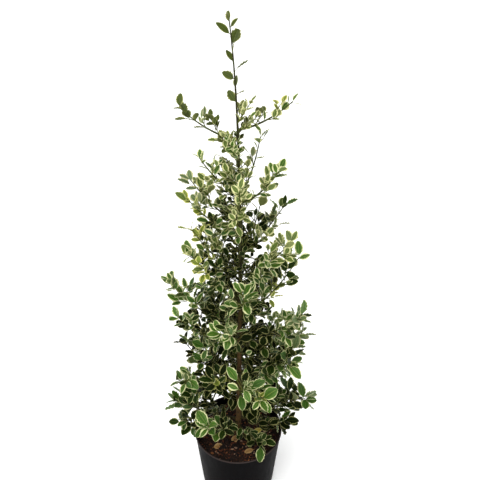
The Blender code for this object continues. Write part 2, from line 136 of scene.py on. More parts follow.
def moulded_polypropylene():
    """Satin black, with a painted highlight along the lip, and dusty at the foot."""
    made, tree, where = start_finish("moulded_polypropylene")
    height = add_node(tree, "SeparateXYZ", {"Vector": where}).outputs["Z"]
    stretched = add_node(tree, "Mapping", {"Vector": where, "Scale": RUB_STRETCH})
    rubs = add_node(tree, "TexNoise", {"Vector": stretched, **RUBS})
    rubbed = add_node(tree, "MapRange", {"Value": rubs, "From Min": 0.5, "From Max": 0.8})
    blacks = {MIX_SHARE: rubbed, MIX_FROM: "#050405", MIX_TO: "#0e0b0a"}
    plastic = add_node(tree, "Mix", blacks, data_type="RGBA")
    # Painted highlight: the top of the lip is mixed towards a paler #4a403d.
    lip_highlight_share = add_node(tree, "MapRange", {"Value": height, **LIP_HIGHLIGHT_BAND})
    lip_highlight_colours = {MIX_SHARE: lip_highlight_share, MIX_FROM: plastic, MIX_TO: "#4a403d"}
    lip_highlighted = add_node(tree, "Mix", lip_highlight_colours, data_type="RGBA")
    near_foot = add_node(tree, "MapRange", {"Value": height, **DUSTY_FOOT})
    dust_noise = add_node(tree, "TexNoise", {"Vector": where, "Scale": per(DUST_PATCH), "Detail": 3})
    dust = add_node(tree, "Math", {0: dust_noise, 1: near_foot}, operation="MULTIPLY")
    dusted = add_node(tree, "Mix", {MIX_SHARE: dust, MIX_FROM: lip_highlighted, MIX_TO: "#6b5848"}, data_type="RGBA")
    satin = add_node(tree, "MapRange", {"Value": rubs, **SATIN})
    grain = add_node(tree, "TexNoise", {"Vector": where, "Scale": per(MOULD_GRAIN), "Detail": 2})
    bump = add_node(tree, "Bump", {"Height": grain, "Strength": 0.25, "Distance": MOULD_RELIEF})
    surface = {"Base Color": dusted, "Roughness": satin, "IOR": 1.49, "Specular IOR Level": 0.015}
    close_finish(tree, {**surface, "Normal": bump})
    return made


pot_plastic = moulded_polypropylene()
print("mixed", pot_plastic.name)

# %% [markdown]
# ## Composted bark
#
# The growing mix is composted pine bark and peat: damp, matt, nearly black in the hollows, with red-brown and
# orange chips on top. Fine crumbs are a bumpy surface; the chips are real pieces, so they get their own browns
# with a grain that runs in short fibres.

# %% Mix the compost and its chips
CRUMB = 2.5 * MM
CLOD = 14 * MM
FIBRE = 1.6 * MM
PEAT_RELIEF = 1.2 * MM
CHIP_RELIEF = 0.3 * MM


def earthy(name, pale, dark, size, relief):
    """A matt, broken brown: two colours in patches of a size, over a relief of a depth."""
    made, tree, where = start_finish(name)
    patches = add_node(tree, "TexNoise", {"Vector": where, "Scale": per(size), "Detail": 6, "Roughness": 0.7})
    sharper = add_node(tree, "MapRange", {"Value": patches, "From Min": 0.35, "From Max": 0.65})
    colour = add_node(tree, "Mix", {MIX_SHARE: sharper, MIX_FROM: dark, MIX_TO: pale}, data_type="RGBA")
    crumbs = add_node(tree, "TexNoise", {"Vector": where, "Scale": per(CRUMB), "Detail": 4})
    bump = add_node(tree, "Bump", {"Height": crumbs, "Strength": 0.8, "Distance": relief})
    close_finish(tree, {"Base Color": colour, "Roughness": 0.92, "IOR": 1.4, "Normal": bump})
    return made


peat = earthy("damp_peat", "#2c180d", "#0d0704", CLOD, PEAT_RELIEF)
CHIP_BROWNS = (  # with how many of a hundred chips are of each brown
    ("bark_chip_umber", "#452716", "#201008", 34),
    ("bark_chip_red", "#6e3b22", "#3a1c0f", 26),
    ("bark_chip_orange", "#a2673c", "#653920", 9),
    ("bark_chip_weathered", "#b7937b", "#7a5b49", 5),
    ("bark_chip_black", "#22150e", "#0d0705", 26),
)
chip_browns = [earthy(name, pale, dark, FIBRE, CHIP_RELIEF) for name, pale, dark, _ in CHIP_BROWNS]
print("mixed", peat.name, "and", len(chip_browns), "browns for the chips")

# %% [markdown]
# ## Holly bark
#
# Young holly bark is thin and smooth: olive green while it is new, then grey-brown low on the trunk, dotted
# with pale breathing pores about a millimetre wide. A gradient by height changes the one into the other,
# a noise breaks its edge, and a cell pattern places the pores. The ridges themselves are in the mesh.

# %% Mix the bark of the trunk, limbs and twigs
PORE_SPACING = 5 * MM
PORE_DOT = {"From Min": 0.1, "From Max": 0.2, "To Min": 0.5, "To Max": 0}
PORE_COLOUR = "#7a6d48"
BARK_PATCHES = {"Scale": per(9 * MM), "Detail": 5, "Roughness": 0.6}
BARK_BLOTCH = {"From Min": 0.45, "From Max": 0.65, "To Max": 0.8}
BARK_CREASES = {"Scale": per(1.5 * MM), "Detail": 3, "Roughness": 0.6}
BARK_RELIEF = 0.3 * MM


def smooth_bark(name, old, young, patch, turns_from, turns_to):
    """Bark that turns from an old colour to a young one between two heights, with pale pores."""
    made, tree, where = start_finish(name)
    patches = add_node(tree, "TexNoise", {"Vector": where, **BARK_PATCHES})
    height = add_node(tree, "SeparateXYZ", {"Vector": where}).outputs["Z"]
    ageing = {"From Min": turns_from, "From Max": turns_to, "To Min": -0.3, "To Max": 0.9}
    age = add_node(tree, "MapRange", {"Value": height, **ageing})
    greening = add_node(tree, "Math", {0: age, 1: patches}, operation="ADD")
    greened = add_node(tree, "MapRange", {"Value": greening, "From Min": 0.3, "From Max": 1.0})
    aged = add_node(tree, "Mix", {MIX_SHARE: greened, MIX_FROM: old, MIX_TO: young}, data_type="RGBA")
    blotched = add_node(tree, "MapRange", {"Value": patches, **BARK_BLOTCH})
    patched = add_node(tree, "Mix", {MIX_SHARE: blotched, MIX_FROM: aged, MIX_TO: patch}, data_type="RGBA")
    pores = add_node(tree, "TexVoronoi", {"Vector": where, "Scale": per(PORE_SPACING)})
    in_pore = add_node(tree, "MapRange", {"Value": pores.outputs["Distance"], **PORE_DOT})
    dots = {MIX_SHARE: in_pore, MIX_FROM: patched, MIX_TO: PORE_COLOUR}
    dotted = add_node(tree, "Mix", dots, data_type="RGBA")
    creases = add_node(tree, "TexNoise", {"Vector": where, **BARK_CREASES})
    bump = add_node(tree, "Bump", {"Height": creases, "Strength": 0.6, "Distance": BARK_RELIEF})
    surface = {"Base Color": dotted, "Roughness": 0.72, "IOR": 1.45, "Specular IOR Level": 0.2, "Normal": bump}
    close_finish(tree, surface)
    return made


holly_bark = smooth_bark("holly_bark", "#5a4325", "#333717", "#2a2212", 0.40, 0.95)
limb_bark = smooth_bark("holly_limb_bark", "#3b3519", "#465020", "#2f2c14", 0.20, 0.80)
twig_bark = smooth_bark("holly_twig_bark", "#454818", "#5c6426", "#4d4220", 0.20, 0.60)
print("mixed", holly_bark.name, limb_bark.name, twig_bark.name)

# %% [markdown]
# ## Holly leaves
#
# A variegated holly leaf is thick and waxed: a green middle, often splashed with a second green, inside an
# uneven cream edge, paler and duller underneath. An image would blur at this size, so the green, the splash,
# the edge, the rib and the underside are separate faces, each with its own plain colour. The colours come in
# sets, one set to a spray: a duller lime high up, yellow on new growth, and a green with painted light and
# shade, bright outside the crown and dark inside it.

# %% Mix the leaf colours
MOTTLE = 5 * MM
MOTTLE_DEPTH = {"From Min": 0.3, "From Max": 0.7, "To Min": 0.84, "To Max": 1.16}
NET_VEIN = 1.8 * MM
VEIN_RELIEF = 0.15 * MM


def waxed_leaf(name, colour, roughness, gloss):
    """One colour of living leaf: a little mottled, netted with fine veins, under a coat of wax."""
    made, tree, where = start_finish(name)
    mottle = add_node(tree, "TexNoise", {"Vector": where, "Scale": per(MOTTLE), "Detail": 3})
    depth = add_node(tree, "MapRange", {"Value": mottle, **MOTTLE_DEPTH})
    tint = add_node(tree, "HueSaturation", {"Color": colour, "Value": depth})
    cells = {"Vector": where, "Scale": per(NET_VEIN)}
    veins = add_node(tree, "TexVoronoi", cells, feature="DISTANCE_TO_EDGE").outputs["Distance"]
    bump = add_node(tree, "Bump", {"Height": veins, "Strength": 0.35, "Distance": VEIN_RELIEF})
    surface = {"Base Color": tint, "Roughness": roughness, "IOR": 1.45, "Specular IOR Level": gloss}
    close_finish(tree, {**surface, "Normal": bump})
    return made


# Each tone: the green of the middle, the splash beside it, the edge, the underside and the rib.
LEAF_PARTS = ("middle", "splash", "edge", "underside", "rib")
PART_ROUGHNESS = (0.42, 0.44, 0.48, 0.65, 0.5)
# sunlit, green, shade and deep are one leaf with painted light and shade, from full light to deep shade.
LEAF_TONES = {
    "sunlit": ("#3c5e18", "#4d7024", "#d8d9a1", "#64763c", "#6a8030"),
    "green": ("#2e4f11", "#3b5d19", "#cbcc95", "#51622f", "#526a26"),
    "grey": ("#5b7045", "#718254", "#cac797", "#7e895e", "#7d8a50"),
    "shade": ("#172806", "#24370d", "#b3b37c", "#3b4924", "#394918"),
    "deep": ("#0e1604", "#172207", "#95925f", "#2a2f15", "#26300e"),
    "young": ("#667722", "#87943a", "#dfda84", "#8b9148", "#9ca44c"),
    "lime": ("#52662a", "#637736", "#d7d69a", "#767f48", "#838d44"),
    "olive": ("#404c14", "#4a561c", "#a3a362", "#5b6332", "#56602a"),
    "dry": ("#a07a4c", "#b38d5d", "#c6a574", "#96744a", "#8a653b"),
    "fallen": ("#cdb94f", "#d8c664", "#dfd07b", "#bda650", "#b39848"),
}
TONE_GLOSS = {"shade": 0.08, "deep": 0.03}  # little light reaches leaves inside the crown
GLOSS = 0.26
leaf_colours = {tone: {} for tone in LEAF_TONES}
leaf_finishes = []
for tone, colours in LEAF_TONES.items():
    gloss = TONE_GLOSS.get(tone, GLOSS)
    for part, colour, roughness in zip(LEAF_PARTS, colours, PART_ROUGHNESS):
        leaf_colours[tone][part] = len(leaf_finishes)
        leaf_finishes.append(waxed_leaf(f"holly_{tone}_{part}", colour, roughness, gloss))
print("mixed", len(leaf_finishes), "leaf colours in", len(LEAF_TONES), "tones")

# %% [markdown]
# ## Gathering small meshes
#
# Thousands of leaves as separate objects would be slow to draw and hard to move, and instances are lost when
# a model leaves Blender. So small meshes are gathered as lists of points and faces, each face with the number
# of its material, and written out once as one object that rides on the frame's only body.

# %% Gather many meshes into one piece
def put_in_scene(name, data):
    """Makes an object of a mesh, a light or a camera, and links it to the scene."""
    made = bpy.data.objects.new(name, data)
    bpy.context.scene.collection.objects.link(made)
    return made


class Gathered:
    """Points, faces and material numbers of many small meshes, for one piece."""

    def __init__(self):
        self.points = []
        self.faces = []
        self.numbers = []
        self.count = 0

    def add(self, points, faces, numbers):
        """Adds a mesh. numbers is one material number, or one for each face."""
        self.faces += [tuple(corner + self.count for corner in face) for face in faces]
        self.numbers += [numbers] * len(faces) if isinstance(numbers, int) else numbers
        self.points.append(np.asarray(points, dtype=float))
        self.count += len(points)

    def triangles(self):
        return sum(len(face) - 2 for face in self.faces)

    def make(self, name, finishes, slot, smooth=True):
        """Writes the piece, and sets it riding on the frame."""
        mesh = bpy.data.meshes.new(name)
        mesh.from_pydata(np.concatenate(self.points), [], self.faces)
        used = sorted(set(self.numbers))
        for number in used:
            mesh.materials.append(finishes[number])
        places = {number: place for place, number in enumerate(used)}
        mesh.polygons.foreach_set("material_index", [places[number] for number in self.numbers])
        mesh.polygons.foreach_set("use_smooth", [smooth] * len(self.faces))
        mesh.update()
        piece = put_in_scene(name, mesh)
        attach(piece, "root")
        print(name, self.triangles(), "triangles")
        return piece


# %% [markdown]
# ## The pot
#
# A nursery pot is a thin tapered shell with a small lip and a bevelled foot, moulded in one piece. Its section
# is drawn once, as points with a rounded arc wherever the mould is rounded, and turned about the middle. Six
# drain holes are cut through the floor. Its height and its rim come from the measured solid.

# %% Turn the pot
RIM_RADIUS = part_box("pot")[1].x
LIP_HEIGHT = 5 * MM
LIP_OUT = 0.4 * MM
LIP_RISE = 0.2 * MM
LIP_UNDER_ROUND = 0.8 * MM
LIP_UNDER_RISE = 0.9 * MM
LIP_ROUND = 1.6 * MM
SIDE_TOP_RADIUS = 120.5 * MM
SIDE_FOOT_RADIUS = 103 * MM
BEVEL_HEIGHT = 10 * MM
BEVEL_ROUND = 8 * MM
BEVEL_TURN = -31  # degrees, where the foot's rounding meets the bevel's
FOOT_RADIUS = 97 * MM
FOOT_ROUND = 3 * MM
WALL = 2.2 * MM
POT_SIDES = 144
DRAIN_HOLES = 6
DRAIN_RADIUS = 7 * MM
DRAIN_RING_RADIUS = 72 * MM
DRAIN_SIDES = 32
WELD = 0.01 * MM
SHARP_FROM = math.radians(40)
INNER_HEIGHTS = (WALL, BEVEL_HEIGHT, POT_HEIGHT)
INNER_RADII = (FOOT_RADIUS - WALL / 2, SIDE_FOOT_RADIUS - WALL, SIDE_TOP_RADIUS - WALL)


def arc(radius, height, size, first, last, steps=6):
    """Points round a small circle of the section, from one angle to another in degrees."""
    turns = [math.radians(first + (last - first) * step / steps) for step in range(steps + 1)]
    return [(radius + size * math.cos(turn), height + size * math.sin(turn)) for turn in turns]


def between(start, end, steps):
    """Evenly spaced points between two points of the section, leaving out both ends."""
    return [
        (start[0] + (end[0] - start[0]) * step / steps, start[1] + (end[1] - start[1]) * step / steps)
        for step in range(1, steps)
    ]


def pot_section():
    """The pot's section from the middle of its underside, up the outside, over the lip and down the inside."""
    foot = arc(FOOT_RADIUS - FOOT_ROUND / 2, FOOT_ROUND, FOOT_ROUND, -90, BEVEL_TURN)
    bevel = arc(SIDE_FOOT_RADIUS - BEVEL_ROUND, BEVEL_HEIGHT + BEVEL_ROUND / 4, BEVEL_ROUND, BEVEL_TURN, -5)
    lip_foot = POT_HEIGHT - LIP_HEIGHT
    under_lip = [(SIDE_TOP_RADIUS, lip_foot), (SIDE_TOP_RADIUS + LIP_OUT, lip_foot + LIP_RISE)]
    lip = arc(RIM_RADIUS - LIP_UNDER_ROUND, lip_foot + LIP_UNDER_RISE, LIP_UNDER_ROUND, -80, 0, 4)
    lip += arc(RIM_RADIUS - LIP_ROUND, POT_HEIGHT - LIP_ROUND, LIP_ROUND, 0, 150, 8)
    inside_top = (SIDE_TOP_RADIUS - WALL, lip_foot)
    inside_bevel = (INNER_RADII[1], BEVEL_HEIGHT)
    inside_foot = arc(INNER_RADII[0] - FOOT_ROUND, WALL + FOOT_ROUND, FOOT_ROUND, BEVEL_TURN, -90)
    section = [(0, 0), (DRAIN_RING_RADIUS, 0), *foot, *bevel, *between(bevel[-1], under_lip[0], 16)]
    section += [*under_lip, *lip, inside_top, *between(inside_top, inside_bevel, 14), inside_bevel]
    return [*section, *inside_foot, (0, WALL)]


def turn_section(name, section, sides):
    """A closed mesh turned about the Z axis from a section that starts and ends on the axis."""
    work = bmesh.new()
    points = [work.verts.new((radius, 0, height)) for radius, height in section]
    drawn = points + [work.edges.new(pair) for pair in zip(points, points[1:])]
    whole = {"axis": UP, "cent": (0, 0, 0), "steps": sides, "angle": 2 * math.pi, "use_merge": True}
    bmesh.ops.spin(work, geom=drawn, **whole)
    bmesh.ops.remove_doubles(work, verts=work.verts, dist=WELD)
    bmesh.ops.recalc_face_normals(work, faces=work.faces)
    return finished_mesh(name, work)


def finished_mesh(name, work):
    mesh = bpy.data.meshes.new(name)
    work.to_mesh(mesh)
    work.free()
    return mesh


def cut_drain_holes(pot):
    """Cuts the holes with one Boolean, and takes the cutters away again."""
    work = bmesh.new()
    drill = {"segments": DRAIN_SIDES, "radius1": DRAIN_RADIUS, "radius2": DRAIN_RADIUS, "depth": 6 * WALL}
    for number in range(DRAIN_HOLES):
        turn = 2 * math.pi * (number + 0.5) / DRAIN_HOLES
        middle = Vector((math.cos(turn), math.sin(turn), 0)) * DRAIN_RING_RADIUS
        bmesh.ops.create_cone(work, cap_ends=True, matrix=Matrix.Translation(middle), **drill)
    cutter = put_in_scene("drain_cutter", finished_mesh("drain_cutter", work))
    cut = pot.modifiers.new("drain", "BOOLEAN")
    cut.operation = "DIFFERENCE"
    cut.object = cutter
    cut.solver = "EXACT"
    bpy.context.view_layer.update()
    drained = bpy.data.meshes.new_from_object(pot.evaluated_get(bpy.context.evaluated_depsgraph_get()))
    pot.modifiers.clear()
    pot.data = drained
    bpy.data.objects.remove(cutter)


pot = put_in_scene("nursery_pot", turn_section("nursery_pot", pot_section(), POT_SIDES))
cut_drain_holes(pot)
pot.data.materials.clear()
pot.data.materials.append(pot_plastic)
pot.data.shade_smooth()
pot.data.set_sharp_from_angle(angle=SHARP_FROM)
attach(pot, "root")
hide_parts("pot")
print("nursery_pot", len(pot.data.polygons), "faces, rim", round(2000 * RIM_RADIUS), "mm across")

# %% [markdown]
# ## The compost
#
# It fills the pot to a little under the rim, mounded and loose. A plane with a bumpy shader would look like
# cloth from the side, so the bed is a turned solid whose top is pushed up and down by noise. The chips that
# lie on it are separate angular pieces: two dozen small hulls of random points, copied at random sizes, turns
# and browns, each at the height of the bed below it.

# %% Fill the pot
COMPOST_BELOW_RIM = 24 * MM
COMPOST_MOUND = 4 * MM
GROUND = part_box("trunk")[0].z
BED_EDGE = POT_HEIGHT - COMPOST_BELOW_RIM
BED_RINGS = 40
BED_SIDES = 144
BED_CLEARANCE = 0.5 * MM
LUMP_SPREAD, LUMP_HEIGHT = 22 * MM, 2.6 * MM
BIT_SPREAD, BIT_HEIGHT = 7 * MM, 1.1 * MM


def inner_radius(height):
    """The radius of the pot's inside wall at a height."""
    return float(np.interp(height, INNER_HEIGHTS, INNER_RADII))


def bed_height(x, y):
    """The height of the compost's top: a low mound, with lumps and smaller bits."""
    share = 1 - math.hypot(x, y) / inner_radius(BED_EDGE)
    place = Vector((x, y, 0))
    lumps = noise.noise(place / LUMP_SPREAD) * LUMP_HEIGHT
    bits = noise.noise(place / BIT_SPREAD + Vector((9, 4, 2))) * BIT_HEIGHT
    return BED_EDGE - MM + COMPOST_MOUND * share + lumps + bits


def make_bed():
    edge = inner_radius(BED_EDGE) - BED_CLEARANCE
    low = (inner_radius(WALL) - FOOT_ROUND, WALL + BED_CLEARANCE)
    side = [low, (inner_radius(BEVEL_HEIGHT) - 2 * BED_CLEARANCE, BEVEL_HEIGHT)]
    top = [(edge * (1 - step / BED_RINGS), BED_EDGE) for step in range(BED_RINGS)]
    mesh = turn_section("compost_bed", [(0, low[1]), *side, *top, (0, BED_EDGE)], BED_SIDES)
    for point in mesh.vertices:
        if point.co.z > BED_EDGE - BED_CLEARANCE:
            point.co.z = bed_height(point.co.x, point.co.y)
    mesh.materials.append(peat)
    mesh.shade_smooth()
    bed = put_in_scene("compost_bed", mesh)
    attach(bed, "root")
    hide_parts("compost")


make_bed()
print("compost fills the pot to", round(1000 * COMPOST_BELOW_RIM), "mm under the rim")

# %% Scatter the chips
CHIPS = 2300
CHIP_KINDS = 24
CHIP_CORNERS = 11
CHIP_WIDTH = (0.45, 0.8)  # as a share of the length
CHIP_DEPTH = (0.22, 0.45)
CHIP_LENGTH = (2.5 * MM, 13 * MM)
CHIP_FINENESS = 2.6  # the higher, the more of the chips are small
CHIP_LEAN = 0.35
CHIP_LIFT = (-0.02, 0.22)
TRUNK_CLEARANCE = 8 * MM
CHIP_SEED = 21


def part_way(pair, share):
    """A value between the two of a pair: the first at a share of 0, the second at 1."""
    return pair[0] + (pair[1] - pair[0]) * share


def chip_kinds(rng):
    """Small flat hulls of random points, each one unit long."""
    kinds = []
    for _ in range(CHIP_KINDS):
        work = bmesh.new()
        width, depth = rng.uniform(*CHIP_WIDTH), rng.uniform(*CHIP_DEPTH)
        for _ in range(CHIP_CORNERS):
            spot = Vector([rng.gauss(0, 1) for _ in range(3)]).normalized()
            work.verts.new((spot.x / 2, spot.y * width / 2, spot.z * depth / 2))
        hull = bmesh.ops.convex_hull(work, input=work.verts)
        loose = [geom for geom in hull["geom_interior"] if isinstance(geom, bmesh.types.BMVert)]
        bmesh.ops.delete(work, geom=loose, context="VERTS")
        work.verts.index_update()
        points = np.array([vert.co for vert in work.verts])
        kinds.append((points, [tuple(vert.index for vert in face.verts) for face in work.faces]))
        work.free()
    return kinds


def scatter_chips():
    rng = random.Random(CHIP_SEED)
    kinds = chip_kinds(rng)
    shares = [share for *_, share in CHIP_BROWNS]
    chips = Gathered()
    while len(chips.points) < CHIPS:
        size = part_way(CHIP_LENGTH, rng.random() ** CHIP_FINENESS)
        reach = (inner_radius(BED_EDGE) - 0.6 * size - MM) * math.sqrt(rng.random())
        turn = rng.uniform(0, 2 * math.pi)
        x, y = reach * math.cos(turn), reach * math.sin(turn)
        if reach < TRUNK_CLEARANCE + size / 2:
            continue
        leans = [Matrix.Rotation(rng.gauss(0, CHIP_LEAN), 3, axis) for axis in "XY"]
        pose = np.array(leans[0] @ leans[1] @ Matrix.Rotation(rng.uniform(0, 2 * math.pi), 3, "Z"))
        points, faces = kinds[rng.randrange(CHIP_KINDS)]
        height = bed_height(x, y) + size * rng.uniform(*CHIP_LIFT)
        brown = rng.choices(range(len(chip_browns)), weights=shares)[0]
        chips.add(points @ pose.T * size + (x, y, height), faces, brown)
    chips.make("compost_chips", chip_browns, "compost", smooth=False)


scatter_chips()

# %% [markdown]
# ## How the holly grows
#
# The trunk is one slightly swaying line, and each limb leaves it at a named height and heading, sags under its
# own weight and lifts its tip. The limbs that show from the front are a short table of measured sizes; those
# between them follow a rule, spread over the back. It is the same rule, with the same random seeds, as the
# measured solids have, so every finer limb follows the line of the one that it replaces.

# %% Lay out the trunk and limbs
TREE_TOP = 1.310
TRUNK_FOOT_RADIUS = 7.5 * MM
TRUNK_TIP_RADIUS = 1.2 * MM
ROOT_FLARE = 3.5 * MM
FLARE_FADE = 14 * MM
MID_SWAY = 6 * MM
TIP_LEAN = 15 * MM
DEPTH_SWAY = 5 * MM
TRUNK_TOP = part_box("trunk")[1].z

# Heading in degrees round the trunk, height of the fork, reach from the trunk's line, height of the tip.
SHOWN_LIMBS = (
    (192, 0.218, 0.160, 0.256),
    (170, 0.232, 0.176, 0.272),
    (198, 0.350, 0.160, 0.430),
    (166, 0.365, 0.145, 0.486),
    (200, 0.505, 0.150, 0.636),
    (180, 0.558, 0.160, 0.705),
    (202, 0.692, 0.113, 0.808),
    (162, 0.728, 0.114, 0.830),
    (200, 0.846, 0.114, 0.950),
    (160, 0.868, 0.112, 0.956),
    (206, 0.952, 0.087, 1.045),
    (179, 1.070, 0.118, 1.138),
    (346, 0.238, 0.139, 0.264),
    (6, 0.250, 0.183, 0.300),
    (16, 0.384, 0.174, 0.501),
    (340, 0.408, 0.144, 0.510),
    (344, 0.520, 0.160, 0.636),
    (4, 0.605, 0.145, 0.768),
    (340, 0.725, 0.126, 0.845),
    (22, 0.792, 0.117, 0.890),
    (342, 0.922, 0.093, 1.012),
    (2, 1.092, 0.112, 1.149),
    (228, 0.226, 0.116, 0.294),
    (307, 0.212, 0.102, 0.218),
    (300, 0.325, 0.112, 0.420),
    (236, 0.380, 0.100, 0.458),
    (258, 0.540, 0.108, 0.642),
)
RULE_LIMBS = 13
BACK = 90
BACK_FAN = 38
FRONT = 277
RULE_TIP = (0.300, 1.055)  # of the lowest and of the highest of these limbs, as are the next two
RULE_REACH = (150 * MM, 70 * MM)
RULE_RISE = (70 * MM, 110 * MM)
RULE_TURN = 9

BOUGHS_BELOW = 0.51
BOUGH_REACH = 110 * MM
BARE_SHARE = 0.26
BOUGH_ROOT_RADIUS = 3.4 * MM
BOUGH_TIP_RADIUS = 2.4 * MM
SHOOT_ROOT_RADIUS = 2.6 * MM
TIP_RADIUS = 1.0 * MM
LIMB_WIGGLE = 5 * MM
LIMB_SAG = 0.16
RULE_SEED = 11
WIGGLE_SEED = 100  # the first limb's; the others count up from it


def trunk_middle(height):
    """The trunk's centreline: a slight sway, and a lean to the left in its last stretch."""
    share = (height - GROUND) / (TREE_TOP - GROUND)
    aside = MID_SWAY * math.sin(math.pi * share) - TIP_LEAN * share**8
    return Vector((aside, DEPTH_SWAY * math.sin(2 * math.pi * share), height))


def trunk_radius(height):
    share = (height - GROUND) / (TREE_TOP - GROUND)
    flare = ROOT_FLARE * math.exp(-(height - GROUND) / FLARE_FADE)
    return part_way((TRUNK_TIP_RADIUS, TRUNK_FOOT_RADIUS), 1 - share) + flare


def all_limbs():
    """Every limb's (head, fork, reach, tip): those that show, then those that the rule spaces between them."""
    rng = random.Random(RULE_SEED)
    limbs = list(SHOWN_LIMBS)
    for number in range(RULE_LIMBS):
        share = number / (RULE_LIMBS - 1)
        middle = FRONT if number % 4 == 3 else BACK + BACK_FAN * (number % 3 - 1)
        tip = part_way(RULE_TIP, share)
        head = middle + rng.uniform(-RULE_TURN, RULE_TURN)
        limbs.append((head, tip - part_way(RULE_RISE, share), part_way(RULE_REACH, share**1.5), tip))
    return limbs


def has_bough(limb):
    """True for a low, long limb, whose foot is bare."""
    _, fork, reach, _ = limb
    return fork < BOUGHS_BELOW and reach >= BOUGH_REACH


def heading(degrees):
    return Vector((math.cos(math.radians(degrees)), math.sin(math.radians(degrees)), 0))


def limb_path(number, limb):
    """The limb's line from the trunk's bark to its tip, as a function of the share of its length."""
    head, fork, reach, tip = limb
    rng = random.Random(WIGGLE_SEED + number)
    out = heading(head)
    side = Vector((-out.y, out.x, 0))
    start = trunk_middle(fork) + out * trunk_radius(fork)
    end = out * reach + UP * tip
    knee = (start + end) / 2 - UP * LIMB_SAG * 2 * (tip - fork) + side * rng.uniform(-1, 1) * LIMB_WIGGLE

    def at(share):
        return (1 - share) ** 2 * start + 2 * share * (1 - share) * knee + share**2 * end

    return at


limbs = all_limbs()
lines = [limb_path(number, limb) for number, limb in enumerate(limbs)]
print(len(limbs), "limbs,", sum(map(has_bough, limbs)), "of them bare at the foot")

# %% [markdown]
# ## Bark with its relief
#
# Smooth tubes look like wire. Real holly wood swells below each fork, is ribbed a little under the bark, and
# keeps a raised scar wherever a leaf has dropped. A displacement modifier could push a dense tube about, but
# it would not know where the forks are, so each ring of the tube is shaped while it is being made.

# %% Shape the trunk and limbs
TRUNK_SIDES = 30
TRUNK_STEP = 3.2 * MM
LIMB_SIDES = 12
LIMB_STEP = 3 * MM
RIB = 0.35 * MM
RIB_ACROSS = 4 * MM
RIB_ALONG = 30 * MM
CREASE = 0.16 * MM
CREASE_SIZE = 2 * MM
LIMB_RELIEF = 0.5  # against the trunk's
SCAR = 0.5 * MM
SCAR_SIZE = 1.8 * MM
SCAR_REACH = 5 * MM
SCAR_SPACING = 13 * MM
SCAR_SEED = 300
FORK_SWELL = 1.2 * MM
FORK_SPREAD = 8 * MM
COLLAR = 0.4
COLLAR_LENGTH = 5 * MM
ROOTED = 0.7  # how deep a limb's foot stands in the trunk, as a share of the trunk's radius
FULL_RELIEF_RADIUS = 5 * MM  # a thinner trunk has less relief
LENGTH_STEPS = 20
STEEP = 0.97


def path_length(path):
    return sum((b - a).length for a, b in zip(path, path[1:]))


def directions(points):
    """The unit direction of travel at each point of a path."""
    ahead = [(b - a).normalized() for a, b in zip(points, points[1:])]
    middle = [(a + b).normalized() for a, b in zip(ahead, ahead[1:])]
    return [ahead[0], *middle, ahead[-1]]


def across(direction):
    """Two unit vectors square to a direction and to each other."""
    helper = Vector((1, 0, 0)) if abs(direction.z) > STEEP else UP
    first = direction.cross(helper).normalized()
    return first, first.cross(direction).normalized()


def spoke(direction, turn):
    """A unit vector square to a direction, at an angle round it."""
    first, second = across(direction)
    return first * math.cos(turn) + second * math.sin(turn)


def tube(points, radii, sides, relief=None):
    """Corners and faces of a closed tube. relief(ring, spoke, point) adds to the radius at a corner."""
    corners = []
    for number, (point, direction, radius) in enumerate(zip(points, directions(points), radii)):
        first, second = across(direction)
        for side in range(sides):
            turn = 2 * math.pi * side / sides
            out = first * math.cos(turn) + second * math.sin(turn)
            extra = relief(number, out, point + out * radius) if relief else 0
            corners.append(point + out * (radius + extra))
    faces = [
        (low + side, low + sides + side, low + sides + (side + 1) % sides, low + (side + 1) % sides)
        for low in range(0, len(corners) - sides, sides)
        for side in range(sides)
    ]
    faces += [tuple(range(sides)), tuple(reversed(range(len(corners) - sides, len(corners))))]
    return corners, faces


def bark_noise(place):
    """Long low ribs that follow the wood, and small creases."""
    ribs = noise.noise(Vector((place.x / RIB_ACROSS, place.y / RIB_ACROSS, place.z / RIB_ALONG))) * RIB
    return ribs + noise.noise(place / CREASE_SIZE) * CREASE


def shape_trunk(wood):
    """The trunk as one tube, ribbed, and swollen on the side of each fork."""
    steps = round((TREE_TOP - GROUND) / TRUNK_STEP)
    heights = [GROUND + (TREE_TOP - GROUND) * step / steps for step in range(steps + 1)]
    forks = [(limb[1], heading(limb[0])) for limb in limbs]

    def relief(ring, out, place):
        height = heights[ring]
        fade = min(1, trunk_radius(height) / FULL_RELIEF_RADIUS)
        swell = 0
        for fork, head in forks:
            above = height - fork
            if abs(above) < 3 * FORK_SPREAD:
                facing = max(0, out.dot(head))
                swell += FORK_SWELL * facing**2 * math.exp(-((above / FORK_SPREAD) ** 2))
        return (bark_noise(place) + swell) * fade

    points = [trunk_middle(height) for height in heights]
    corners, faces = tube(points, [trunk_radius(height) for height in heights], TRUNK_SIDES, relief)
    for corner in corners[:TRUNK_SIDES]:
        corner.z = GROUND
    wood.add(corners, faces, 0)


def limb_radius(limb, share):
    """The limb's radius at a share of its length."""
    if has_bough(limb):
        radii = (BOUGH_ROOT_RADIUS, BOUGH_TIP_RADIUS, TIP_RADIUS)
        return float(np.interp(share, (0, BARE_SHARE, 1), radii))
    return part_way((SHOOT_ROOT_RADIUS, TIP_RADIUS), share)


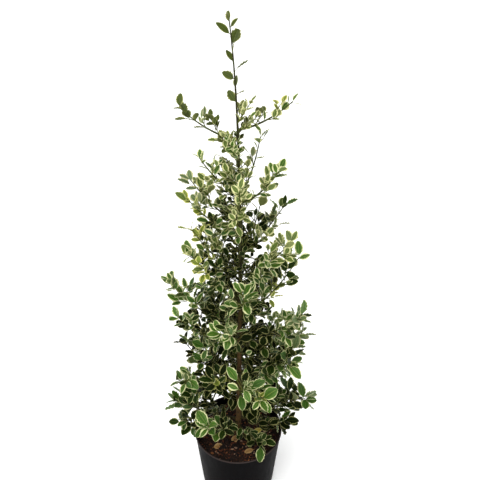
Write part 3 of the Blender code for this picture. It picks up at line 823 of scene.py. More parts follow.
def shape_limb(wood, number, limb, line):
    """A limb as one tube, with a collar at its fork and scars along it."""
    length = path_length([line(step / LENGTH_STEPS) for step in range(LENGTH_STEPS + 1)])
    steps = round(length / LIMB_STEP)
    shares = [0, 0, *[step / steps for step in range(1, steps + 1)]]
    points = [line(share) for share in shares]
    points[0] = points[1] - heading(limb[0]) * trunk_radius(limb[1]) * ROOTED
    collars = [1 + COLLAR * math.exp(-share * length / COLLAR_LENGTH) for share in shares]
    radii = [limb_radius(limb, share) * collar for share, collar in zip(shares, collars)]
    scars = random.Random(SCAR_SEED + number)
    places = [scars.uniform(0, 1) for _ in range(round(length / SCAR_SPACING))]
    turns = [scars.uniform(0, 2 * math.pi) for _ in places]

    def relief(ring, out, place):
        extra = bark_noise(place) * LIMB_RELIEF
        for scar, turn in zip(places, turns):
            away = (shares[ring] - scar) * length
            if abs(away) < SCAR_REACH:
                facing = max(0, out.dot(spoke(UP, turn)))
                extra += SCAR * facing * math.exp(-((away / SCAR_SIZE) ** 2))
        return extra

    corners, faces = tube(points, radii, LIMB_SIDES, relief)
    wood.add(corners, faces, 1)


wood = Gathered()
shape_trunk(wood)
for number, (limb, line) in enumerate(zip(limbs, lines)):
    shape_limb(wood, number, limb, line)
trunk_and_limbs = wood.make("trunk_and_limbs", [holly_bark, limb_bark], "bark")
bough_nodes = [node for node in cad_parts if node.startswith("bough_")]
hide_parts("trunk", *bough_nodes)

# %% [markdown]
# ## Twigs
#
# Every limb carries side twigs, each from the next side of it, and the longer twigs carry smaller ones. A twig
# belongs to its limb's own space: the points nearer to that limb than to any other. A twig that would leave
# the space, or touch the trunk, a bare bough or the pot, is shortened and then left out. This keeps the gaps
# between the limbs open, which a cloud of leaves round the trunk would close.

# %% Keep each limb's growth to its own space
LIMB_MARGIN = 1.5 * MM
POT_MARGIN = 3 * MM
HANG_BELOW_RIM = 42 * MM
STEM_STEPS = 6
BOUGH_STEPS = 3
LEADER_POINTS = 8
TRUNK_POINTS = 16


def segments(paths):
    """The starts, ends and path numbers of every segment of some paths."""
    rows = [(a, b, number) for number, path in enumerate(paths) for a, b in zip(path, path[1:])]
    return [np.array(column) for column in zip(*rows)]


def distances(points, starts, ends):
    """The distance from each point to each segment."""
    along = ends - starts
    offset = points[:, None, :] - starts
    share = np.clip((offset * along).sum(2) / (along * along).sum(1), 0, 1)
    return np.linalg.norm(offset - share[..., None] * along, axis=2)


class Spaces:
    """Each limb owns the points that are nearer to its own line than to any other."""

    def __init__(self, stems, bare):
        self.starts, self.ends, self.owners = segments(stems)
        self.bare_starts, self.bare_ends, numbers = segments([path for path, _ in bare])
        self.bare_radii = np.array([bare[number][1] for number in numbers])

    def owner_at(self, point):
        """The limb whose space a point lies in."""
        return int(self.owners[distances(np.array([point]), self.starts, self.ends)[0].argmin()])

    def free(self, owner, points):
        """True if every point lies in the owner's space and clear of the wood, pot and compost."""
        points = np.array(points)
        gaps = distances(points, self.starts, self.ends)
        own = self.owners == owner
        if (gaps[:, own].min(1) > gaps[:, ~own].min(1)).any():
            return False
        bare_gaps = distances(points, self.bare_starts, self.bare_ends) - self.bare_radii
        if (bare_gaps < LIMB_MARGIN).any():
            return False
        radius, height = np.hypot(points[:, 0], points[:, 1]), points[:, 2]
        beside_pot = (radius > RIM_RADIUS + POT_MARGIN) & (height > POT_HEIGHT - HANG_BELOW_RIM)
        over_compost = (radius < RIM_RADIUS - 4 * POT_MARGIN) & (height > GROUND + 2 * POT_MARGIN)
        over_rim = height > POT_HEIGHT + POT_MARGIN
        return bool((beside_pot | over_compost | over_rim).all())


def stretch(line, first, last, steps):
    """Points along part of a line, between two shares of its length."""
    return [line(first + (last - first) * step / steps) for step in range(steps + 1)]


stems, boughs = [], []
for limb, line in zip(limbs, lines):
    leafy_from = BARE_SHARE if has_bough(limb) else 0
    stems.append(stretch(line, leafy_from, 1, STEM_STEPS))
    if has_bough(limb):
        boughs.append((stretch(line, 0, BARE_SHARE, BOUGH_STEPS), BOUGH_ROOT_RADIUS))
LEADER = len(stems)
stems.append([trunk_middle(height) for height in np.linspace(TRUNK_TOP, TREE_TOP, LEADER_POINTS)])
floors = np.linspace(GROUND, TRUNK_TOP, TRUNK_POINTS)
trunk_parts = [([trunk_middle(a), trunk_middle(b)], trunk_radius(a)) for a, b in zip(floors, floors[1:])]
spaces = Spaces(stems, trunk_parts + boughs)
print(len(stems), "spaces")

# %% [markdown]
# ## Growing without collisions
#
# Stiff leaves do not pass through each other. Testing every new leaf against all the others would be slow, so
# what has grown is kept by cubes of space, and a new leaf is only tested against the leaves and twigs near it,
# as two triangles with a fold between them. One that would cross another is turned a little and made smaller,
# and after a few tries it is left out.

# %% Remember what has grown where
CUBE = 45 * MM


class Thicket:
    """Leaves and twigs that have grown, kept by cubes of space."""

    def __init__(self):
        self.cubes = {}

    def cube(self, point):
        return tuple(math.floor(c / CUBE) for c in point)

    def add(self, point, solid, twig, is_leaf):
        self.cubes.setdefault(self.cube(point), []).append((point, solid, twig, is_leaf))

    def near(self, point):
        """Everything in a point's own cube and the 26 round it."""
        x, y, z = self.cube(point)
        for dx, dy, dz in itertools.product((-1, 0, 1), repeat=3):
            yield from self.cubes.get((x + dx, y + dy, z + dz), ())

    def has_room(self, point, solid, twig, spacing):
        """True if no leaf stands nearer than the spacing, and nothing but the leaf's own twig touches it."""
        for other_point, other, other_twig, is_leaf in self.near(point):
            if is_leaf and (other_point - point).length < spacing:
                return False
            if (is_leaf or other_twig != twig) and other.overlap(solid):
                return False
        return True


print("cubes of", round(1000 * CUBE), "mm")

# %% [markdown]
# ## The growth rule
#
# Leaves stand along a twig at a real spacing, each a golden angle round from the last, closer together and
# pointing further forward towards the tip, where they make the rosettes that holly ends its shoots with. They
# turn their upper sides to the light: upward, and outward from the crown. Sizes shrink from the low limbs to
# the top, as they do on the plant. Most pairs of values hold at the compost and at the plant's tip. A pair for
# a bend or a rise, or whose name ends in VARIES, is a range that chance draws from.

# %% Set out the rule for twigs
GOLDEN = math.radians(137.5)
TWIG_STEP = (15 * MM, 22 * MM)
TWIG_REACH = (54 * MM, 28 * MM)
VIGOUR = (1.3, 0.25)  # the share of that reach at a stem's foot and at its tip
FIRST_TWIG = (0.3, 0.7)  # how many steps from a stem's foot
LAST_TWIG = 0.4  # how many steps from its tip
TWIG_ANGLE = math.radians(50)
TWIG_LIFT = 0.25
TWIG_BEND = (0.05, 0.22)
TWIG_POINTS = (0, 0.34, 0.67, 1)
TWIG_TIP_RADIUS = 0.7 * MM
SIDE_TWIG_SHARE = 0.5
SIDE_TWIG_STEP = 17 * MM
STEP_GROWTH = 0.6  # twigs stand this much further apart towards a stem's tip
STEP_VARIES = (0.8, 1.2)
LENGTH_VARIES = (0.8, 1.1)
TWIG_TRIES = (1, 0.75, 0.5, 0.3)  # of its full length, until one has room
SPUR_BANDS = ((0.30, 0), (0.83, -1), (1.06, 1))  # from a height up, the side of the trunk: 0 for both
SPURS_THIN_FROM = 0.93
SPURS_THIN = 1.6  # how much further apart they stand above it
SPURS_TO = 1.12
SPUR_STEP = 4 * MM
SPUR_STEP_VARIES = (0.7, 1.3)
SPUR_RISE = (0.5, 1.3)
SPUR_LENGTH = 46 * MM
SPUR_TRIES = (1, 0.8, 0.6, 0.4)
SPUR_SEED = 51


def height_share(point):
    """How high up the plant a point is: 0 at the compost, 1 at the tip."""
    return min(1, max(0, (point.z - GROUND) / (TREE_TOP - GROUND)))


def by_height(pair, point):
    """A value for a point, from a pair for the compost and for the plant's tip."""
    return part_way(pair, height_share(point))


def along_path(path, travelled):
    """The point and the direction at a distance along a path."""
    for a, b in zip(path, path[1:]):
        length = (b - a).length
        if travelled <= length:
            break
        travelled -= length
    direction = (b - a).normalized()
    return a + direction * min(travelled, length), direction


def twig_from(root, ahead, length, rng):
    """A twig's path: it leaves at an angle and bends a little towards the light."""
    bend = UP * length * rng.uniform(*TWIG_BEND)
    return [root + ahead * length * share + bend * share**2 for share in TWIG_POINTS]


def grow_twigs(owner, stem, number, step, reach, rng):
    """Side twigs along a stem, as rows of (path, number of the stem)."""
    length = path_length(stem)
    twigs = []
    turn = rng.uniform(0, 2 * math.pi)
    travelled = step * rng.uniform(*FIRST_TWIG)
    while travelled < length - step * LAST_TWIG:
        root, direction = along_path(stem, travelled)
        turn += GOLDEN
        aside = spoke(direction, turn) * math.sin(TWIG_ANGLE)
        ahead = (direction * math.cos(TWIG_ANGLE) + aside + UP * TWIG_LIFT).normalized()
        longest = reach * part_way(VIGOUR, travelled / length)
        for share in TWIG_TRIES:
            path = twig_from(root, ahead, longest * share * rng.uniform(*LENGTH_VARIES), rng)
            if spaces.free(owner, path[1:]):
                twigs.append((path, number))
                break
        travelled += step * rng.uniform(*STEP_VARIES) * (1 + STEP_GROWTH * travelled / length)
    return twigs


def trunk_spurs():
    """Short leafy shoots straight off the upper trunk, by the limb whose space each one grows in."""
    rng = random.Random(SPUR_SEED)
    spurs = {}
    turn = 0
    height = SPUR_BANDS[0][0]
    while height < SPURS_TO:
        out = heading(math.degrees(turn))
        side = [side for start, side in SPUR_BANDS if height >= start][-1]
        if side * out.x < 0:
            out.x = -out.x
        root = trunk_middle(height) + out * trunk_radius(height)
        ahead = (out + UP * rng.uniform(*SPUR_RISE)).normalized()
        for share in SPUR_TRIES:
            path = twig_from(root, ahead, SPUR_LENGTH * share * rng.uniform(*LENGTH_VARIES), rng)
            owner = spaces.owner_at(path[-1])
            if spaces.free(owner, path[1:]):
                spurs.setdefault(owner, []).append(path)
                break
        turn += GOLDEN
        thinned = SPURS_THIN if height > SPURS_THIN_FROM else 1
        height += SPUR_STEP * rng.uniform(*SPUR_STEP_VARIES) * thinned
    return spurs


spurs = trunk_spurs()
print(sum(map(len, spurs.values())), "spurs on the trunk")

# %% Set out the rule for leaves
LEAF_STEP = (5.5 * MM, 7.4 * MM)
TIP_LEAF_STEP = 4.5 * MM
TIP_LEAF_BELOW = 0.8 * MM
LEADER_LEAF_STEP = 17 * MM
LEADER_LEAF_LENGTH = 31 * MM
LEADER_TIP_LEAF = 0.55  # the size of the leaf at its tip, against its others
LEADER_FACING = Vector((0, -0.5, 0))
LEADER_NARROW = 0.85
LEAF_ANGLE = (math.radians(36), math.radians(62))  # at a twig's tip, and below it
LEAF_SWAY = math.radians(20)
OPENING = 18 * MM  # how far below a twig's tip its leaves stand fully open
LEAF_LIFT = (0.1, 0.55)  # how far leaves turn up
FACE_UP, FACE_AHEAD, FACE_OUT, FACE_CHANCE = 0.8, 0.35, 0.25, 0.6  # what a leaf's upper side turns to
LEAF_LENGTH = (43 * MM, 20 * MM)
LEAF_WIDTH = (0.62, 0.69)  # as a share of the length
INNER_LEAF = (0.8, 0.65)  # the size of a leaf beside the trunk, against one at the outside
CROWN = (155 * MM, 85 * MM)  # its radius
LEAF_SPACING_SHARE = 0.17
LEAF_TRIES = 7
TRY_TURN = 0.4
TRY_SHRINKS = 0.07
LEAF_LENGTH_VARIES = (0.75, 1.15)
LEAF_WIDTH_VARIES = (0.8, 1.12)
STALK_SHARE = 0.16
WINDOW_HALF = 14 * MM  # the trunk shows from the front through a gap this far to each side
WINDOW_LOW = 0.24
WINDOW_TOP = 0.68
WINDOW_SHARE = 0.92  # of the leaves that would stand in the gap are missing
SIGHT_SLOPE = 0.75  # how steeply someone who stands in front looks down on the trunk
OUTER_STEP = 1.3  # how much longer a leaf step is at the outside of the crown's top
OUTER_STEP_FOOT = 0.35  # the share of that which holds at the foot of the crown

# How thin each limb is, by number: above 1 with fewer leaves than the rule gives, below 1 with more.
THINNESS = {0: 2.1, 1: 1.2, 2: 1.5, 3: 2.3, 4: 1.8, 5: 0.8, 6: 0.6, 7: 0.8, 10: 1.7, 11: 1.2, 12: 2.0}
THINNESS |= {13: 0.8, 15: 0.6, 16: 0.7, 17: 1.4, 18: 0.7, 19: 0.9, 20: 1.4, 22: 3.0, 23: 3.4, 26: 0.8}
THINNESS |= {27: 0.7, 29: 1.6, 31: 0.8, 32: 0.6, 33: 0.5, 35: 0.6, 36: 3.0, 37: 1.5, 38: 2.0, 39: 3.0}

# Each limb's own seed, the leader's last: of some tries, the one whose leaves fill the limb's place best.
LIMB_SEEDS = (19, 5, 7, 15, 18, 6, 18, 6, 8, 11, 19, 4, 16, 6, 9, 2, 5, 2, 10, 7, 8)
LIMB_SEEDS += (0, 10, 17, 4, 3, 9, 2, 3, 19, 0, 5, 11, 0, 14, 2, 1, 12, 5, 1, 52)
SEEDS_PER_LIMB = 100


def outsideness(point):
    """How far out a point is: 0 on the trunk's line, 1 at the crown's outside."""
    return math.hypot(point.x, point.y) / by_height(CROWN, point)


def square_to(vector, line):
    """A unit vector square to a line, turned as near to another vector as it can be."""
    return (vector - line * vector.dot(line)).normalized()


def leaf_pose(root, direction, turn, angle, rng):
    """Where a leaf points and where its upper side faces."""
    lean = angle + rng.uniform(-LEAF_SWAY, LEAF_SWAY)
    along = direction * math.cos(lean) + spoke(direction, turn) * math.sin(lean)
    along = (along + UP * by_height(LEAF_LIFT, root)).normalized()
    out = Vector((root.x, root.y, 0)).normalized()
    chance = Vector([rng.uniform(-FACE_CHANCE, FACE_CHANCE) for _ in range(3)])
    return along, square_to(UP * FACE_UP + direction * FACE_AHEAD + out * FACE_OUT + chance, along)


def in_window(point):
    """True in front of the middle of the trunk, where the crown is thin."""
    behind = point.z + SIGHT_SLOPE * point.y
    aside = abs(point.x - trunk_middle(point.z).x)
    return aside < WINDOW_HALF and point.y < 0 and WINDOW_LOW < behind < WINDOW_TOP


def leaf_places(stem, step, rng):
    """The places of leaves, from a stem's tip down: (distance from the tip, turn, angle, root, direction)."""
    length = path_length(stem)
    turn = rng.uniform(0, 2 * math.pi)
    below = TIP_LEAF_BELOW
    while below < length - step / 2:
        openness = min(1, below / OPENING)
        root, direction = along_path(stem, length - below)
        yield below, turn, part_way(LEAF_ANGLE, openness), root, direction
        turn += GOLDEN
        below += part_way((TIP_LEAF_STEP, step), openness) * rng.uniform(*STEP_VARIES)


def rough_leaf(root, along, face, length, width):
    """Four corners of a folded leaf, for the tests."""
    side = along.cross(face).normalized() * width / 2
    start = root + along * length * STALK_SHARE
    middle = start + along * length * 0.5
    return [start, middle + side, start + along * length, middle - side]


def tube_solid(path, radius):
    """A three-sided tube round a twig, for the tests."""
    corners, faces = tube(path, [radius] * len(path), 3)
    return BVHTree.FromPolygons(corners, faces)


print("leaves from", round(1000 * LEAF_LENGTH[0]), "to", round(1000 * LEAF_LENGTH[1]), "mm long")

# %% Grow every limb
def sparseness(owner):
    """How much further apart than the rule says a limb's twigs stand, and the leaves on each."""
    return math.sqrt(THINNESS.get(owner, 1))


def limb_twigs(owner, stem, rng):
    """A limb's twigs, each with the number of the one it grows from, and the number of each one's spray. The
    stem is number 0. A spray is the limb's own shoot, a spur, or one side twig with its smaller twigs."""
    twigs = [(stem, 0), *[(path, 0) for path in spurs.get(owner, [])]]
    if owner == LEADER:
        return twigs, list(range(len(twigs)))
    middle = stem[len(stem) // 2]
    reach = by_height(TWIG_REACH, middle)
    twigs += grow_twigs(owner, stem, 0, by_height(TWIG_STEP, middle) * sparseness(owner), reach, rng)
    sprays = list(range(len(twigs)))
    for number in range(1, len(twigs)):
        path = twigs[number][0]
        small = grow_twigs(owner, path, number, SIDE_TWIG_STEP, reach * SIDE_TWIG_SHARE, rng)
        twigs += small
        sprays += [number] * len(small)
    return twigs, sprays


def limb_places(owner, stem, twigs, rng):
    """Every place for a leaf on a limb, with its twig's number. The tips come first, so they fill first."""
    places = []
    for number, (path, _) in enumerate(twigs):
        step = by_height(LEAF_STEP, stem[len(stem) // 2])
        if not 0 < number <= len(spurs.get(owner, [])):
            step *= sparseness(owner)
        step *= 1 + OUTER_STEP * outsideness(path[-1]) ** 2 * (OUTER_STEP_FOOT + height_share(path[-1]))
        if owner == LEADER and number == 0:
            step = LEADER_LEAF_STEP
        places += [(*place, number) for place in leaf_places(path, step, rng)]
    tips = [place for place in places if place[0] < OPENING / 3]
    rest = [place for place in places if place[0] >= OPENING / 3]
    rng.shuffle(rest)
    return tips + rest


def fit_leaf(owner, place, thicket, rng):
    """A leaf at a place, as (root, along, face, length, width), or None where none has room."""
    below, turn, angle, root, direction, number = place
    on_leader = owner == LEADER and number == 0
    size = by_height(LEAF_LENGTH, root)
    size *= part_way((by_height(INNER_LEAF, root), 1), min(1, outsideness(root)))
    if on_leader:
        size = LEADER_LEAF_LENGTH * part_way((LEADER_TIP_LEAF, 1), min(1, below / OPENING))
    for again in range(LEAF_TRIES):
        aside = turn + rng.uniform(-TRY_TURN, TRY_TURN) * again
        along, face = leaf_pose(root, direction, aside, angle, rng)
        length = size * rng.uniform(*LEAF_LENGTH_VARIES) * (1 - TRY_SHRINKS * again)
        width = length * by_height(LEAF_WIDTH, root) * rng.uniform(*LEAF_WIDTH_VARIES)
        if on_leader:
            face = square_to(face + LEADER_FACING, along)
            width *= LEADER_NARROW
        corners = rough_leaf(root, along, face, length, width)
        if in_window(corners[1].lerp(corners[3], 0.5)) and rng.random() < WINDOW_SHARE:
            return None
        if not spaces.free(owner, corners):
            continue
        solid = BVHTree.FromPolygons(corners, [(0, 1, 2), (0, 2, 3)])
        centre = (corners[1] + corners[3]) / 2
        if thicket.has_room(centre, solid, (owner, number), LEAF_SPACING_SHARE * length):
            thicket.add(centre, solid, (owner, number), True)
            return root, along, face, length, width
    return None


def grow_limb(owner, stem, thicket):
    """Everything that grows from one limb: its twigs, its leaves as rows of (root, along, face, length, width,
    spray), and the numbers of the twigs that carry leaves."""
    rng = random.Random(SEEDS_PER_LIMB * owner + LIMB_SEEDS[owner])
    twigs, sprays = limb_twigs(owner, stem, rng)
    for number, (path, _) in enumerate(twigs[1:], 1):
        thicket.add((path[0] + path[-1]) / 2, tube_solid(path, TWIG_TIP_RADIUS), (owner, number), False)
    leaves, leafy = [], set()
    for place in limb_places(owner, stem, twigs, rng):
        leaf = fit_leaf(owner, place, thicket, rng)
        if leaf:
            leaves.append((*leaf, sprays[place[-1]]))
            leafy.add(place[-1])
    for number in range(len(twigs) - 1, 0, -1):
        if number in leafy:
            leafy.add(twigs[number][1])
    return twigs, leaves, leafy


thicket = Thicket()
growth = [grow_limb(owner, stem, thicket) for owner, stem in enumerate(stems)]
leaf_count = sum(len(leaves) for _, leaves, _ in growth)
print(sum(len(leafy) for *_, leafy in growth), "twigs,", leaf_count, "leaves")

# %% [markdown]
# ## Making the twigs
#
# A twig is a thin green tube, fatter at its foot, and ended in a pointed bud.

# %% Join the twigs
TWIG_RADIUS = 1.15 * MM
TWIG_SIDES = 6
TWIG_PIECE = 7 * MM
BUD_LENGTH = 3 * MM
BUD_RADIUS = 1.1 * MM
BUD_SHAPE = ((0.25, 0.85), (0.6, 0.7), (1, 0.15))  # shares of its length and of its radius


def twig_path(path):
    """More points along a twig, so that it bends smoothly, and a foot inside the wood that it grows from."""
    steps = max(3, round(path_length(path) / TWIG_PIECE))
    foot = path[0] - (path[1] - path[0]).normalized() * MM
    return [foot] + [along_path(path, path_length(path) * step / steps)[0] for step in range(steps + 1)]


def add_twig(sticks, path):
    points = twig_path(path)
    radii = list(np.linspace(TWIG_RADIUS, TWIG_TIP_RADIUS, len(points)))
    ahead = (points[-1] - points[-2]).normalized()
    for share, radius in BUD_SHAPE:
        points.append(path[-1] + ahead * BUD_LENGTH * share)
        radii.append(BUD_RADIUS * radius)
    corners, faces = tube(points, radii, TWIG_SIDES)
    sticks.add(corners, faces, 0)


sticks = Gathered()
for twigs, _, leafy in growth:
    for number in sorted(leafy - {0}):
        add_twig(sticks, twigs[number][0])
sticks.make("twigs", [twig_bark], "bark")

# %% [markdown]
# ## One leaf
#
# The leaf is two skins of faces that meet at the rim. Its points stand in rows, one after another along it. To
# each side of the rib, a row of the upper skin has a point on the rim, one on the uneven border between cream
# and green, one in the middle of that half, and one beside the rib. Every second row is a tooth, pushed out,
# forward and up, and the row after it is the dip before the next. The halves rise from the rib, and the whole
# leaf arches down towards its tip.

# %% Shape a leaf
ROW_SHARES = (0.0, 0.06, 0.15, 0.25, 0.35, 0.46, 0.57, 0.68, 0.79, 0.9)
TOOTH_ROWS = (0, 0, 0, 1, -1, 1, -1, 1, -1, 1)
TOP_COLUMNS = (-1, -0.78, -0.42, -0.06, 0.06, 0.42, 0.78, 1)
UNDER_COLUMNS = (-1, -0.78, 0, 0.78, 1)
TOP_PARTS = ("edge", "splash", "middle", "rib", "middle", "splash", "edge")
UNDER_PARTS = ("edge", "underside", "underside", "edge")
LEAF_THICK = 0.35 * MM
TOOTH_OUT = 0.045
TOOTH_FORWARD = 0.03
TOOTH_UP = 0.035
STALK_WIDTH = 0.7 * MM
FULL_LEAF = 36 * MM
BORDER_THIN = 0.86  # where the cream begins, as a share of the half width, on a full-grown leaf
BORDER_WIDE = 0.6
BORDER_MOST = 0.95
BORDER_SPREAD = 0.06  # from leaf to leaf
BORDER_WAVE = (-0.09, 0.07)  # along one leaf
TEETH = (0.1, 1.2)  # some leaves are nearly smooth
FOLD = (6, 26)  # degrees that each half rises
ARCH = (0.04, 0.26)
TWIST = (-0.4, 0.4)
WIDEST_AT = 0.98  # an exponent: below 1 the leaf is widest nearer its foot
FULLNESS = 0.7  # an exponent: the lower, the blunter the leaf


def skin_faces(columns, first, upward):
    """Faces of one skin: quads between the rows of columns, and triangles to the tip, which comes last."""
    rows = len(ROW_SHARES) + 1
    tip = first + rows * columns
    faces = []
    for row in range(rows):
        low = first + row * columns
        for column in range(columns - 1):
            if row == rows - 1:
                face = (low + column, low + column + 1, tip)
            else:
                face = (low + column, low + column + 1, low + columns + column + 1, low + columns + column)
            faces.append(face if upward else face[::-1])
    return faces


def skin_parts(parts):
    """The leaf part of each face: the stalk is of the rib's colour."""
    return ["rib"] * len(parts) + list(parts) * len(ROW_SHARES)


TOP_POINTS = (len(ROW_SHARES) + 1) * len(TOP_COLUMNS) + 1
LEAF_FACES = skin_faces(len(TOP_COLUMNS), 0, True) + skin_faces(len(UNDER_COLUMNS), TOP_POINTS, False)
FACE_PARTS = skin_parts(TOP_PARTS) + skin_parts(UNDER_PARTS)


def half_width(share):
    """The leaf's half width along it, from a wedge at its foot to a point, 1 at its widest."""
    return math.sin(math.pi * share**WIDEST_AT) ** FULLNESS


def leaf_points(root, along, face, length, width, border, rng):
    """The corners of both skins of a leaf that stands on its stalk at the root. Cream begins at the border."""
    side = along.cross(face).normalized()
    teeth, fold = rng.uniform(*TEETH), math.tan(math.radians(rng.uniform(*FOLD)))
    arch, twist = rng.uniform(*ARCH), rng.uniform(*TWIST)
    border = min(BORDER_THIN, max(BORDER_WIDE, border + rng.gauss(0, BORDER_SPREAD)))
    waves = [[rng.uniform(*BORDER_WAVE) for _ in range(2)] for _ in ROW_SHARES]
    edges = np.minimum(BORDER_MOST, border + np.array(waves))
    shares = np.array(ROW_SHARES)[:, None]
    tooth = (np.array(TOOTH_ROWS) * teeth)[:, None]
    half = np.array([half_width(share) for share in ROW_SHARES])[:, None] * width / 2
    half[0] = STALK_WIDTH
    skins = []
    for columns, drop in ((TOP_COLUMNS, 0), (UNDER_COLUMNS, LEAF_THICK)):
        spread = np.tile(np.array(columns, dtype=float), (len(shares), 1))
        spread[:, 1], spread[:, -2] = -edges[:, 0], edges[:, 1]
        outer = np.abs(spread) ** 3
        out = outer * np.maximum(tooth, 0)
        y = spread * half + np.sign(spread) * out * TOOTH_OUT * length
        x = shares * length + out * TOOTH_FORWARD * length
        z = fold * np.abs(y) - 0.5 * fold * np.abs(y) * np.abs(spread) + outer * tooth * TOOTH_UP * length
        z = z + twist * shares * y - arch * length * shares**2 - drop * (np.abs(spread) < 1)
        stalk_x = np.full(len(columns), -STALK_SHARE * length)
        stalk_y = np.array(columns, dtype=float) * STALK_WIDTH
        stalk_z = -drop * 2 * (np.abs(np.array(columns)) < 1)
        tip = [length, 0, -arch * length]
        points = np.stack([x, y, z], axis=2).reshape(-1, 3)
        skins += [np.stack([stalk_x, stalk_y, stalk_z], axis=1), points, [tip]]
    local = np.concatenate(skins) + (STALK_SHARE * length, 0, 0)
    return local @ np.array([along, side, face]) + np.array(root)


print(len(LEAF_FACES), "faces in a leaf")

# %% [markdown]
# ## Dealing out the colours
#
# Outside leaves stand in the light and look bright; inside and underneath they are in shade, and darker. That
# light and shade is painted into the leaf colours: each spray is dealt a tone from deep shade to sunlit by how
# far out it stands, how high, how far in front, and chance, and two limbs in front are painted in full light.
# New growth is yellow for some weeks, and the upper leaves are a duller lime, and a few named limbs carry
# yellow or olive sprays. The leaves are then joined from the lowest limb up, in pieces small enough to handle.

# %% Deal the tones
YOUNG_LIMBS = {25: 0.5, 7: 0.5, 8: 0.5, 6: 0.5, 21: 0}  # from how far out they carry yellow sprays
YOUNG_THERE = 0.4  # the chance of a yellow spray on those limbs
YOUNG_ELSEWHERE = 0.1
OLIVE_LIMBS = (11, 21)
OLIVE_THERE = 0.3
LIME_FROM = 0.52  # from this share of the height, some sprays are lime
LIME_THERE = 0.5
GREY_CHANCE = 0.15
# Limbs whose sprays get more painted light, as if in full light.
LIT_LIMBS = (22, 23)
LIT_BY = 0.22
BY_DISTANCE_OUT = (0.52, 0.22)  # how much light for how far out a spray is, and for the cube of that
BY_HEIGHT = (0.3, 1.3)  # the same for how high up it is
BY_FACING = 0.2
LIGHT_SPREAD = (0.26, 0.14)
DARKEST = (("deep", 0.54), ("shade", 0.74))  # each up to how much light
GREEN_UP_TO = 0.92
TONE_SIZE = {"young": 0.75, "deep": 0.86, "shade": 0.88, "green": 0.92}
THIN_EDGED = ("deep", "shade", "olive")
LIGHT_ORDER = ("deep", "shade", "green", "sunlit")
ODD_LEAVES = 0.35


def light_at(tip, rng):
    """Painted light round a spray's tip: more so outside, high up and in front."""
    outside, height, facing = outsideness(tip), height_share(tip), -tip.y / CROWN[0]
    light = BY_DISTANCE_OUT[0] * outside + BY_DISTANCE_OUT[1] * outside**3
    light += BY_HEIGHT[0] * height + BY_HEIGHT[1] * height**3 + BY_FACING * facing
    return light + rng.gauss(0, by_height(LIGHT_SPREAD, tip))


def deal_tone(owner, spray, tip, rng):
    """A tone for one spray, from where its tip stands: painted light and shade, or a colour of its own."""
    if outsideness(tip) > YOUNG_LIMBS.get(owner, math.inf) and rng.random() < YOUNG_THERE:
        return "young"
    light = light_at(tip, rng) + (LIT_BY if owner in LIT_LIMBS else 0)
    if owner == LEADER and spray == 0 or owner in OLIVE_LIMBS and rng.random() < OLIVE_THERE:
        return "olive"
    for tone, most in DARKEST:
        if light < most:
            return tone
    if height_share(tip) > LIME_FROM and rng.random() < LIME_THERE:
        return "lime"
    if light < GREEN_UP_TO:
        return "green"
    if rng.random() < YOUNG_ELSEWHERE:
        return "young"
    return "grey" if rng.random() < GREY_CHANCE else "sunlit"


def vary_tone(tone, rng):
    """One leaf's tone: mostly its spray's, and now and then, by chance, the next one up or down in painted
    light.
    """
    if tone not in LIGHT_ORDER or rng.random() > ODD_LEAVES:
        return tone
    place = LIGHT_ORDER.index(tone) + rng.choice((-1, 1))
    return LIGHT_ORDER[min(len(LIGHT_ORDER) - 1, max(0, place))]


print("tones from dark to bright:", *LIGHT_ORDER)

# %% Join the leaves
MOST_TRIANGLES = 150_000
LEAF_SEED = 1700
numbers_of = {tone: [leaf_colours[tone][part] for part in FACE_PARTS] for tone in LEAF_TONES}


def mass_node(owner):
    """The solid that a limb's leaves stand for."""
    return "leader_shoot" if owner == LEADER else f"foliage_{owner + 1:02d}"


foliage, owners, pieces = Gathered(), [], []
for owner, (twigs, leaves, _) in enumerate(growth):
    rng = random.Random(LEAF_SEED + owner)
    tones = {}
    for root, along, face, length, width, spray in leaves:
        if spray not in tones:
            tones[spray] = deal_tone(owner, spray, twigs[spray][0][-1], rng)
        tone = vary_tone(tones[spray], rng)
        grown = TONE_SIZE.get(tone, 1)
        border = BORDER_THIN if tone in THIN_EDGED else length / FULL_LEAF * BORDER_THIN
        points = leaf_points(root, along, face, length * grown, width * grown, border, rng)
        foliage.add(points, LEAF_FACES, numbers_of[tone])
    owners.append(owner)
    if foliage.triangles() > MOST_TRIANGLES or owner == LEADER:
        piece = foliage.make(f"leaves_{len(pieces) + 1}", leaf_finishes, "foliage")
        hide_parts(*[mass_node(number) for number in owners])
        pieces.append(piece)
        foliage, owners = Gathered(), []

# %% [markdown]
# ## Fallen leaves
#
# A few leaves have dropped on the compost and dried to tan, and one has only just turned yellow. They are the
# same leaf, laid nearly flat on the bed.

# %% Lay the fallen leaves
FALLEN = (  # place in millimetres, tone, and heading in degrees
    (52, 0, "fallen", 30),
    (4, 63, "dry", 130),
    (-8, -24, "dry", 250),
    (-58, -52, "dry", 20),
    (34, -66, "dry", 200),
    (88, -30, "dry", 320),
    (-84, 20, "dry", 95),
)
FALLEN_LENGTH = 27 * MM
FALLEN_WIDTH = FALLEN_LENGTH * LEAF_WIDTH[0]
FALLEN_LIFT = 4 * MM
FALLEN_TILT = 0.1
FALLEN_ROLL = 0.3
FALLEN_SEED = 77


def lay_fallen():
    litter = Gathered()
    rng = random.Random(FALLEN_SEED)
    for x, y, tone, turn in FALLEN:
        along = (heading(turn) + UP * rng.uniform(-FALLEN_TILT, FALLEN_TILT)).normalized()
        face = square_to(UP + heading(turn + 90) * rng.uniform(-FALLEN_ROLL, FALLEN_ROLL), along)
        middle = Vector((x * MM, y * MM, bed_height(x * MM, y * MM) + FALLEN_LIFT))
        root = middle - along * FALLEN_LENGTH / 2
        points = leaf_points(root, along, face, FALLEN_LENGTH, FALLEN_WIDTH, BORDER_THIN, rng)
        litter.add(points, LEAF_FACES, numbers_of[tone])
    litter.make("fallen_leaves", leaf_finishes, "foliage")


lay_fallen()

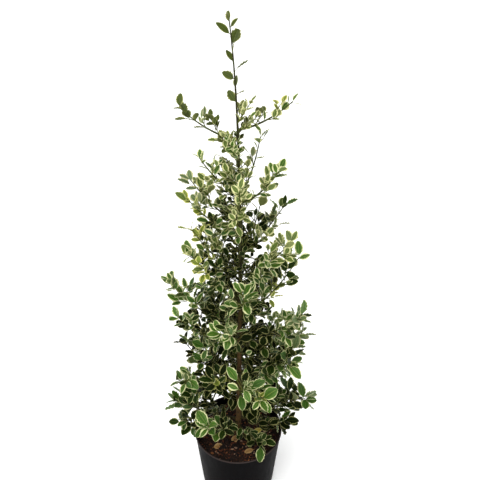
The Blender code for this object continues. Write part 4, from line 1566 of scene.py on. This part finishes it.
# %% [markdown]
# ## Studio
#
# The plant stands on a light table, a wide round sheet of opal acrylic lit from below, in a white room under
# large soft lights. So its outline is clear from every side and its shadow is faint. The table is part of the
# stage, not of the plant.

# %% Set the stage
TABLE_RADIUS = 45.0
TABLE_SIDES = 96
TABLE_CLOUD = 30 * MM
TABLE_GLOW = 0.35
ROOM_FADE = {"From Min": 0.3, "From Max": 0.6, "To Min": 1.1, "To Max": 0.4}  # from the walls to the ceiling


def opal_acrylic():
    made, tree, where = start_finish("opal_acrylic")
    clouds = add_node(tree, "TexNoise", {"Vector": where, "Scale": per(TABLE_CLOUD), "Detail": 2})
    whites = {MIX_SHARE: clouds, MIX_FROM: "#f6f6f5", MIX_TO: "#fafaf9"}
    tint = add_node(tree, "Mix", whites, data_type="RGBA")
    glow = {"Emission Color": tint, "Emission Strength": TABLE_GLOW}
    close_finish(tree, {"Base Color": tint, "Roughness": 0.9, "IOR": 1.49, **glow})
    return made


def lay_table():
    mesh = bpy.data.meshes.new("light_table")
    turns = [2 * math.pi * side / TABLE_SIDES for side in range(TABLE_SIDES)]
    corners = [(TABLE_RADIUS * math.cos(turn), TABLE_RADIUS * math.sin(turn), 0) for turn in turns]
    mesh.from_pydata(corners, [], [tuple(range(TABLE_SIDES))])
    mesh.materials.append(opal_acrylic())
    put_in_scene("light_table", mesh)


def add_softbox(name, place, aim, size, watts):
    """A square area light that looks at a point."""
    data = bpy.data.lights.new(name, "AREA")
    data.shape, data.size, data.energy = "SQUARE", size, watts
    lamp = put_in_scene(name, data)
    lamp.location = place
    lamp.rotation_euler = (Vector(aim) - Vector(place)).to_track_quat("-Z", "Y").to_euler()


def add_ceiling(name, tilt, spread, strength):
    """An even light from overhead, as wide as a bright ceiling: a sun lamp with a very large disc."""
    data = bpy.data.lights.new(name, "SUN")
    data.angle, data.energy = math.radians(spread), strength
    put_in_scene(name, data).rotation_euler = [math.radians(turn) for turn in tilt]


def light_room():
    """The room around: white walls, and a softer light above them."""
    room = bpy.data.worlds.new("soft_white_room")
    room.use_nodes = True
    tree = room.node_tree
    height = add_node(tree, "SeparateXYZ", {"Vector": add_node(tree, "TexCoord").outputs["Generated"]})
    fade = add_node(tree, "MapRange", {"Value": height.outputs["Z"], **ROOM_FADE})
    background = tree.nodes["Background"]
    background.inputs["Color"].default_value = linear("#f6f7f9")
    tree.links.new(fade.outputs[0], background.inputs["Strength"])
    bpy.context.scene.world = room


lay_table()
light_room()
add_ceiling("bright_ceiling", (14, -10, 0), 60, 2.1)
add_softbox("front_softbox", (-1.6, -2.6, 2.4), (0, 0, 0.7), 1.8, 25)
bpy.context.scene.view_settings.view_transform = "Standard"
print("stage set")

# %% [markdown]
# ## Camera
#
# It stands 1.2 m in front of the pot at 1.6 m, eye height, and looks down at the whole plant, as someone
# choosing it in a nursery would.

# %% Place the camera
CAMERA_PLACE = (0.0055, -1.217, 1.588)
CAMERA_PITCH = 32.2
CAMERA_LENS = 47.1  # millimetres, as is the sensor
SENSOR = 36
CAMERA_SEES_TO = 100

camera_data = bpy.data.cameras.new("camera")
camera_data.lens = CAMERA_LENS
camera_data.sensor_width = SENSOR
camera_data.clip_end = CAMERA_SEES_TO
camera = put_in_scene("camera", camera_data)
camera.location = CAMERA_PLACE
camera.rotation_euler = (math.radians(90 - CAMERA_PITCH), 0, 0)
bpy.context.scene.camera = camera
print("camera", CAMERA_LENS, "mm, pitched down", CAMERA_PITCH, "degrees")
